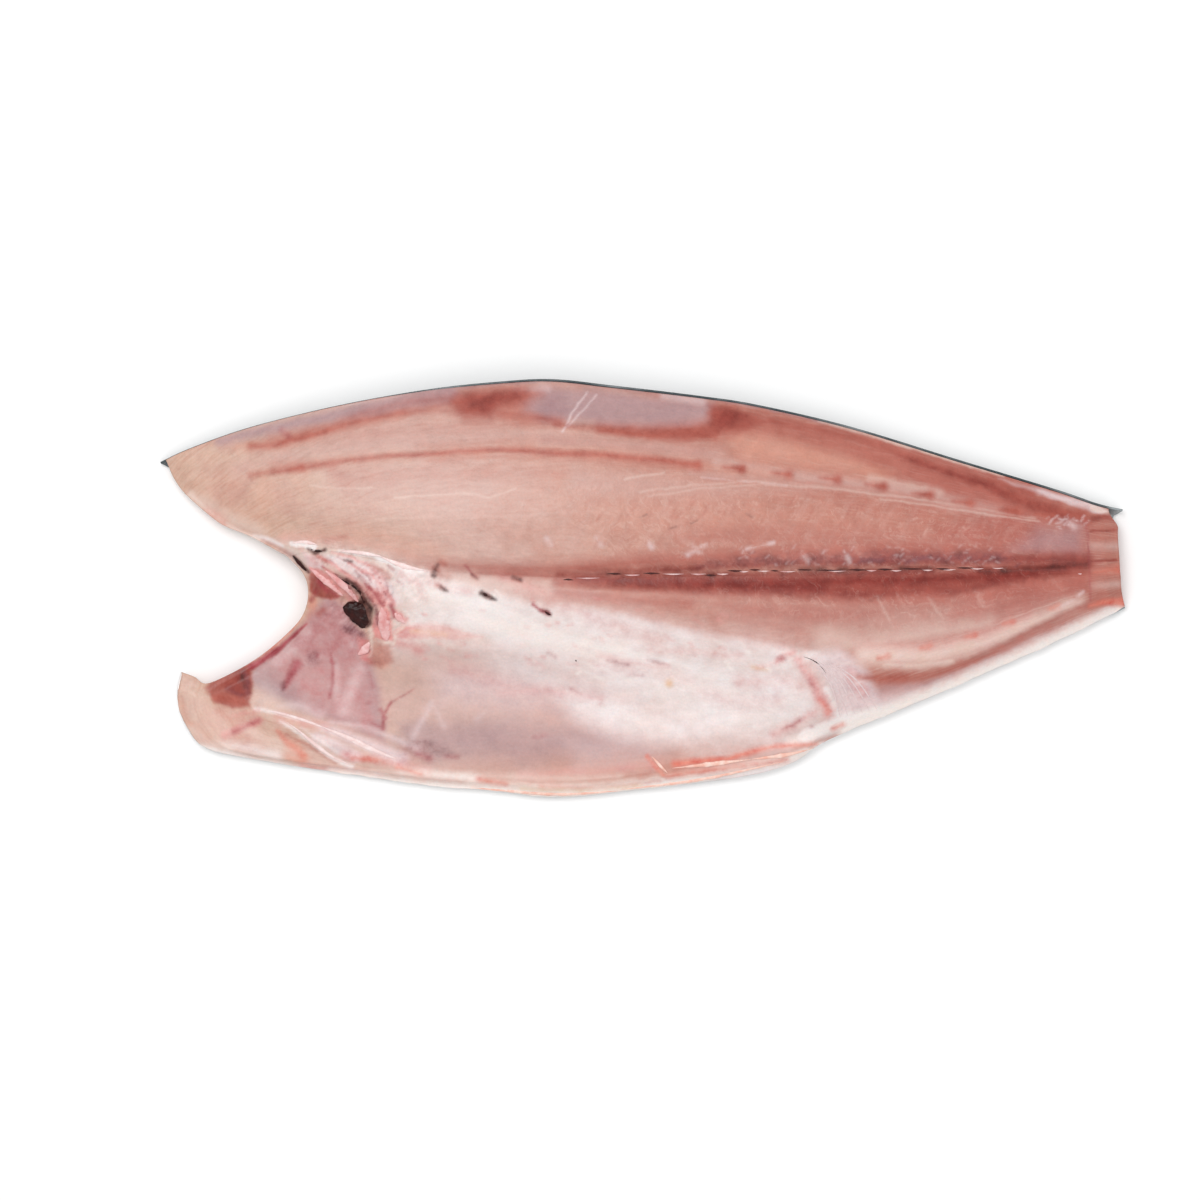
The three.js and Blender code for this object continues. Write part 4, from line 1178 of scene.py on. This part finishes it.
def skinMaterial():
    material, tree, shader = newMaterial("yellowtailSkin")
    around = addNode(tree, "ShaderNodeUVMap", uv_map="skin").outputs[0]
    place = addNode(tree, "ShaderNodeTexCoord").outputs["Object"]
    along, across, _ = addNode(tree, "ShaderNodeSeparateXYZ", {0: around}).outputs
    mottle = noiseOn(tree, place, **skin["mottle"])
    streaks = noiseOn(tree, around, **skin["streaks"])
    wander = maths(tree, "MULTIPLY_ADD", mottle, 0.04, -0.02)
    colour = rampOn(tree, maths(tree, "ADD", across, wander), skin["colours"])
    colour = mixColours(tree, remap(tree, streaks, 0.4, 1.0, (0.0, 0.25)), colour, skin["streak"])
    colour = mixColours(tree, remap(tree, along, *skin["tailEndFrom"]), colour, skin["tailEnd"])
    tree.links.new(colour, shader.inputs["Base Color"])
    scales = addNode(tree, "ShaderNodeTexVoronoi", {"Vector": place, "Scale": skin["scales"]})
    bump = bumpOn(tree, scales.outputs["Distance"], skin["scaleBump"], strength=0.5)
    tree.links.new(bump, shader.inputs["Normal"])
    setInputs(shader, skin["finish"])
    return material


def makeSkin(material):
    bm = gridSheet(*skin["cells"])
    bmesh.ops.reverse_faces(bm, faces=bm.faces)  # it faces down and outwards
    piece = finishPiece("skin", bm, material)
    mesh = piece.data
    u, around = readLayer(mesh, "along"), (1 - readLayer(mesh, "across")) / 2
    bellyStart = 1 - skin["bellyShare"]
    turn = np.pi / 2 * np.where(around < skin["backShare"], around / skin["backShare"],
                                np.where(around > bellyStart, (1 - around) / skin["bellyShare"], 1))
    across = np.interp(around, [skin["backShare"], bellyStart], [1, -1])
    onBack = across >= 0
    lean, narrowed = tuckIn(u, onBack, turn, outerWidth(u, across))
    drop = skin["rimDrop"] * (1 - smooth(lipAt(u, onBack), 0.4, 0.9))
    rim = topOfSolid(u, np.where(onBack, 1.0, -1.0)) - drop
    writePlaces(mesh, planAt(mix(lean, 1 - lean, u), across * narrowed), rim * (1 - np.sin(turn)))
    writeUv(mesh, "skin", np.column_stack([u, around]))
    wall = piece.modifiers.new("thickness", "SOLIDIFY")
    wall.thickness = skin["thickness"] * mm
    wall.offset = -1


fleshPaint = fleshMaterial()
fleshHalves = [makeFlesh(name, span, fleshPaint) for name, span in flesh["halves"].items()]
makeSkin(skinMaterial())


def surfaceUnder(pieces):  # the height in millimetres of what lies under a place, and 0 beyond the edges
    trees = []
    for piece in pieces:
        bm = bmesh.new()
        bm.from_mesh(piece.data)
        trees.append(BVHTree.FromBMesh(bm))
        bm.free()

    def at(place):
        hits = [lookDown(tree, place * mm) for tree in trees]
        return max([hit.z / mm for hit in hits if hit is not None], default=0.0)
    return at


# Thin pieces that lie on the cut face: points in the photograph's pixels, half widths at the start, the
# middle and the end, and how thick the strand is, all but the points in millimetres.
strands = {
    "sinews": [
        ([(262, 711), (276, 713), (300, 720), (322, 728)], (0.5, 1.0, 0.8), 0.6),
        ([(320, 727), (346, 738), (371, 750), (396, 760)], (0.6, 1.6, 0.8), 0.7),
        ([(284, 722), (297, 731), (311, 743), (330, 757), (350, 766)], (0.3, 1.0, 0.4), 0.6),
        ([(293, 543), (306, 542), (318, 545)], (0.5, 1.2, 0.4), 0.8),
        ([(340, 551), (362, 553), (384, 557)], (0.4, 1.1, 0.6), 0.8),
        ([(382, 557), (404, 566), (428, 571)], (0.6, 1.5, 0.5), 0.8),
    ],
    "silver": [
        ([(806 + 3.4 * k, 656 + 0.5 * k), (829 + 5.2 * k, 682 - 0.6 * k), (841 + 7.5 * k, 718 - 1.5 * k)],
         (0.15, 0.45, 0.25), 0.3) for k in range(6)
    ],
    "tornFlesh": [
        ([(309, 567), (319, 575), (331, 585), (343, 596)], (1.6, 2.3, 1.4), 1.3),
        ([(326, 571), (337, 579), (348, 589), (358, 602)], (1.2, 1.9, 1.6), 1.3),
        ([(382, 607), (384, 620), (386, 641)], (2.0, 3.4, 3.0), 1.6),
        ([(395, 613), (399, 617), (405, 623)], (1.2, 1.8, 1.2), 1.0),
        ([(357, 655), (364, 650), (369, 642)], (1.2, 2.0, 1.0), 0.7),
    ],
    "clots": [
        ([(336, 575), (346, 582), (355, 587), (361, 594), (364, 604)], (0.15, 0.7, 1.1), 0.5),
        ([(311, 549.5), (317, 551), (324, 551)], (0.3, 0.8, 0.3), 0.3),
        ([(292, 555.5), (298, 561), (306, 571)], (0.6, 1.5, 1.0), 1.3),
        ([(484, 593), (488, 596)], (0.7, 0.9, 0.6), 0.3),
        ([(545, 611.5), (551, 615)], (0.4, 0.7, 0.4), 0.3),
        ([(575.5, 660), (576.5, 661.5)], (0.35, 0.4, 0.35), 0.2),
        ([(801, 656), (811, 659.5), (819, 665), (826, 674)], (0.08, 0.26, 0.08), 0.2),
    ],
    "fringe": [
        ([(470, 789), (520, 793), (570, 795), (620, 792)], (0.4, 1.2, 0.4), 0.6),
        ([(620, 791), (690, 782), (750, 770), (786, 762)], (0.4, 1.2, 0.4), 0.6),
        ([(652, 757), (660, 766), (668, 774)], (0.4, 0.9, 0.4), 0.7),
        ([(672, 769), (710, 765), (752, 760)], (0.4, 1.3, 0.4), 0.8),
        ([(752, 760), (790, 755), (816, 748)], (0.4, 1.2, 0.4), 0.8),
    ],
    "vertebraLine": [
        ([(a, y), ((a + b) / 2, y + 0.4), (b, y)], (0.12, 0.42, 0.15), 0.25) for a, b, y in
        [(576, 600, 578), (624, 640, 575), (662, 684, 574), (690, 706, 574), (716, 728, 574),
         (738, 748, 571.5), (756, 770, 571), (779, 795, 571.5), (826, 846, 571), (866, 876, 570.5),
         (890, 901, 570.5), (922, 933, 570), (940, 956, 569.5), (970, 984, 568.5), (992, 1004, 568),
         (1079, 1083, 573.6)]
    ],
    "vertebraGaps": [
        ([(a, y), ((a + b) / 2, y - 0.4), (b, y + 0.3)], (0.1, 0.7, 0.15), 0.25) for a, b, y in
        [(563, 574, 580), (606, 622, 574), (642, 660, 573.5), (704, 716, 575.5), (726, 742, 571),
         (748, 760, 570), (770, 778, 571), (796, 812, 570), (816, 840, 570.5), (846, 868, 570),
         (876, 892, 569.5), (900, 924, 569), (934, 950, 569), (956, 974, 568)]
    ],
}
strandLooks = {  # two colours, roughness and coat
    "sinews": (rgb(242, 224, 222), rgb(232, 200, 196), 0.4, 0.2),
    "silver": (rgb(228, 208, 208), rgb(216, 190, 190), 0.35, 0.3),
    "tornFlesh": (rgb(236, 196, 194), rgb(214, 146, 144), 0.4, 0.2),
    "clots": (rgb(60, 24, 21), rgb(34, 14, 13), 0.3, 0.12),
    "fringe": (rgb(242, 214, 202), rgb(232, 172, 154), 0.4, 0.2),
    "vertebraLine": (rgb(232, 206, 204), rgb(214, 160, 160), 0.35, 0.25),
    "vertebraGaps": (rgb(84, 32, 30), rgb(52, 20, 20), 0.4, 0.15),
}
strandShape = {
    "around": 10,  # facets
    "rings": (8, 1.1),  # how many at least, and the millimetres between them
    "wobble": (0.35, 3.0),  # how much its width varies, and over what length
    "sunk": 0.25,  # the share of its thickness that is in the flesh
    "noiseScale": 260.0,
    "bump": 0.0003,
    "coatRoughness": 0.1,
}


def strandMaterial(name):
    first, second, roughness, coat = strandLooks[name]
    material, tree, shader = newMaterial(name + "Paint")
    place = addNode(tree, "ShaderNodeTexCoord").outputs["Object"]
    patches = noiseOn(tree, place, strandShape["noiseScale"])
    tree.links.new(mixColours(tree, patches, first, second), shader.inputs["Base Color"])
    tree.links.new(bumpOn(tree, patches, strandShape["bump"]), shader.inputs["Normal"])
    setInputs(shader, {"Roughness": roughness, "Specular IOR Level": coat, "Coat Weight": coat,
                       "Coat Roughness": strandShape["coatRoughness"]})
    return material


def addStrand(bm, points, halves, thickness, surface, seed):
    curve = smoothCurve(toPart(points))
    length = np.hypot(*np.diff(curve(np.linspace(0, 1, 50)), axis=0).T).sum()
    fewest, spacing = strandShape["rings"]
    rings = max(fewest, int(length / spacing))
    around = strandShape["around"]
    made = bmesh.ops.create_uvsphere(bm, u_segments=around, v_segments=rings, radius=1)["verts"]
    x, y, z = np.array([vert.co for vert in made]).T
    share = (1 - z) / 2
    ahead = curve(np.clip(share + 0.02, 0, 1)) - curve(np.clip(share - 0.02, 0, 1))
    side = np.stack([-ahead[:, 1], ahead[:, 0]], -1) / np.maximum(np.hypot(*ahead.T), 1e-9)[:, None]
    much, over = strandShape["wobble"]
    wobble = much * cloudNoise(share * length / over, np.full(len(share), seed * 1.7), 91)
    half = np.interp(share, [0, 0.5, 1], halves) * (1 + wobble)
    spread = curve(share) + side * (x * half)[:, None]
    shares = np.linspace(0, 1, rings)
    ground = np.array([surface(place) for place in curve(shares)])
    ground = np.convolve(np.pad(ground, 2, mode="edge"), np.ones(5) / 5, mode="valid")
    height = np.interp(share, shares, ground) + thickness * (0.5 - strandShape["sunk"] + y / 2)
    for vert, place in zip(made, np.column_stack([spread, height]) * mm):
        vert.co = place


def makeStrands(name, surface):
    bm = bmesh.new()
    for seed, (points, halves, thickness) in enumerate(strands[name]):
        addStrand(bm, points, halves, thickness, surface, seed)
    finishPiece(name, bm, strandMaterial(name))


overFlesh = surfaceUnder(fleshHalves)
for name in strands:
    makeStrands(name, overFlesh)

bloodClot = {
    "outline": [(341, 607), (346, 602), (353, 602), (362, 599), (371, 600), (375, 607), (376, 616),
                (374, 625), (367, 630), (357, 625), (349, 617), (343, 612)],
    "height": 2.6,
    "lumps": 0.8,
    "spacing": 3.2,
}


def makeClot(surface):  # a lumpy dark clot in the hollow behind the throat
    bm = bmesh.new()
    bmesh.ops.create_icosphere(bm, subdivisions=5, radius=1)
    outline = toPart(bloodClot["outline"])
    centre = outline.mean(axis=0)
    angles = np.arctan2(*(outline - centre).T[::-1])
    order = np.argsort(angles)
    reach = np.hypot(*(outline - centre).T)[order]
    ground, spacing = surface(centre), bloodClot["spacing"]
    for vert in bm.verts:
        x, y, z = vert.co
        radius = np.interp(np.arctan2(y, x), angles[order], reach, period=2 * np.pi)
        place = np.array([x * radius + centre[0], y * radius + centre[1], z * bloodClot["height"]])
        noise = cloudNoise(place[:1] / spacing + place[2], place[1:2] / spacing, 97)[0]
        place += bloodClot["lumps"] * noise * np.array([x, y, max(z, 0)]) + (0, 0, ground)
        vert.co = place * mm
    finishPiece("bloodClot", bm, bpy.data.materials["clotsPaint"])


makeClot(overFlesh)


studio = {
    "tableHalf": 4.0,  # metres, as is the next
    "tableGap": 0.0004,
    "tableFinish": {"Base Color": rgb(250, 250, 250), "Roughness": 0.7},
    "world": 0.7,
    "key": {"place": (-0.45, 0.6, 1.8), "size": 1.1, "watts": 15.5},
    "fill": {"place": (0.6, -0.5, 1.6), "size": 1.4, "watts": 4},
    "lens": 135,
    "sensor": 36,
}


def makeStage():
    bm = bmesh.new()
    bmesh.ops.create_grid(bm, x_segments=1, y_segments=1, size=studio["tableHalf"])
    bmesh.ops.translate(bm, verts=bm.verts, vec=(0, 0, cadLow[2] - studio["tableGap"]))
    material, _, shader = newMaterial("paleTable")
    setInputs(shader, studio["tableFinish"])
    newObject("table", bm, material)


def makeStudio():
    scene = bpy.context.scene
    world = bpy.data.worlds.new("studio")
    world.use_nodes = True
    setInputs(world.node_tree.nodes["Background"], {"Color": (1, 1, 1, 1), "Strength": studio["world"]})
    scene.world = world
    for name in ("key", "fill"):
        light = bpy.data.lights.new(name, "AREA")
        light.shape, light.size, light.energy = "DISK", studio[name]["size"], studio[name]["watts"]
        lamp = bpy.data.objects.new(name, light)
        lamp.location = studio[name]["place"]
        lamp.rotation_euler = Vector(studio[name]["place"]).to_track_quat("Z", "Y").to_euler()
        scene.collection.objects.link(lamp)
    scene.view_settings.view_transform = "Standard"

    camera = bpy.data.cameras.new("photoCamera")
    camera.lens, camera.sensor_width = studio["lens"], studio["sensor"]
    seen = photo["width"] * photo["mmPerPixel"] * mm
    x, y = toPart([(photo["width"] / 2, photo["width"] / 2)])[0] * mm
    viewer = bpy.data.objects.new("photoCamera", camera)
    viewer.location = (x, y, (cadHigh[2] + cadLow[2]) / 2 + seen * studio["lens"] / studio["sensor"])
    scene.collection.objects.link(viewer)
    scene.camera = viewer


makeStage()
makeStudio()
print("studio ready")
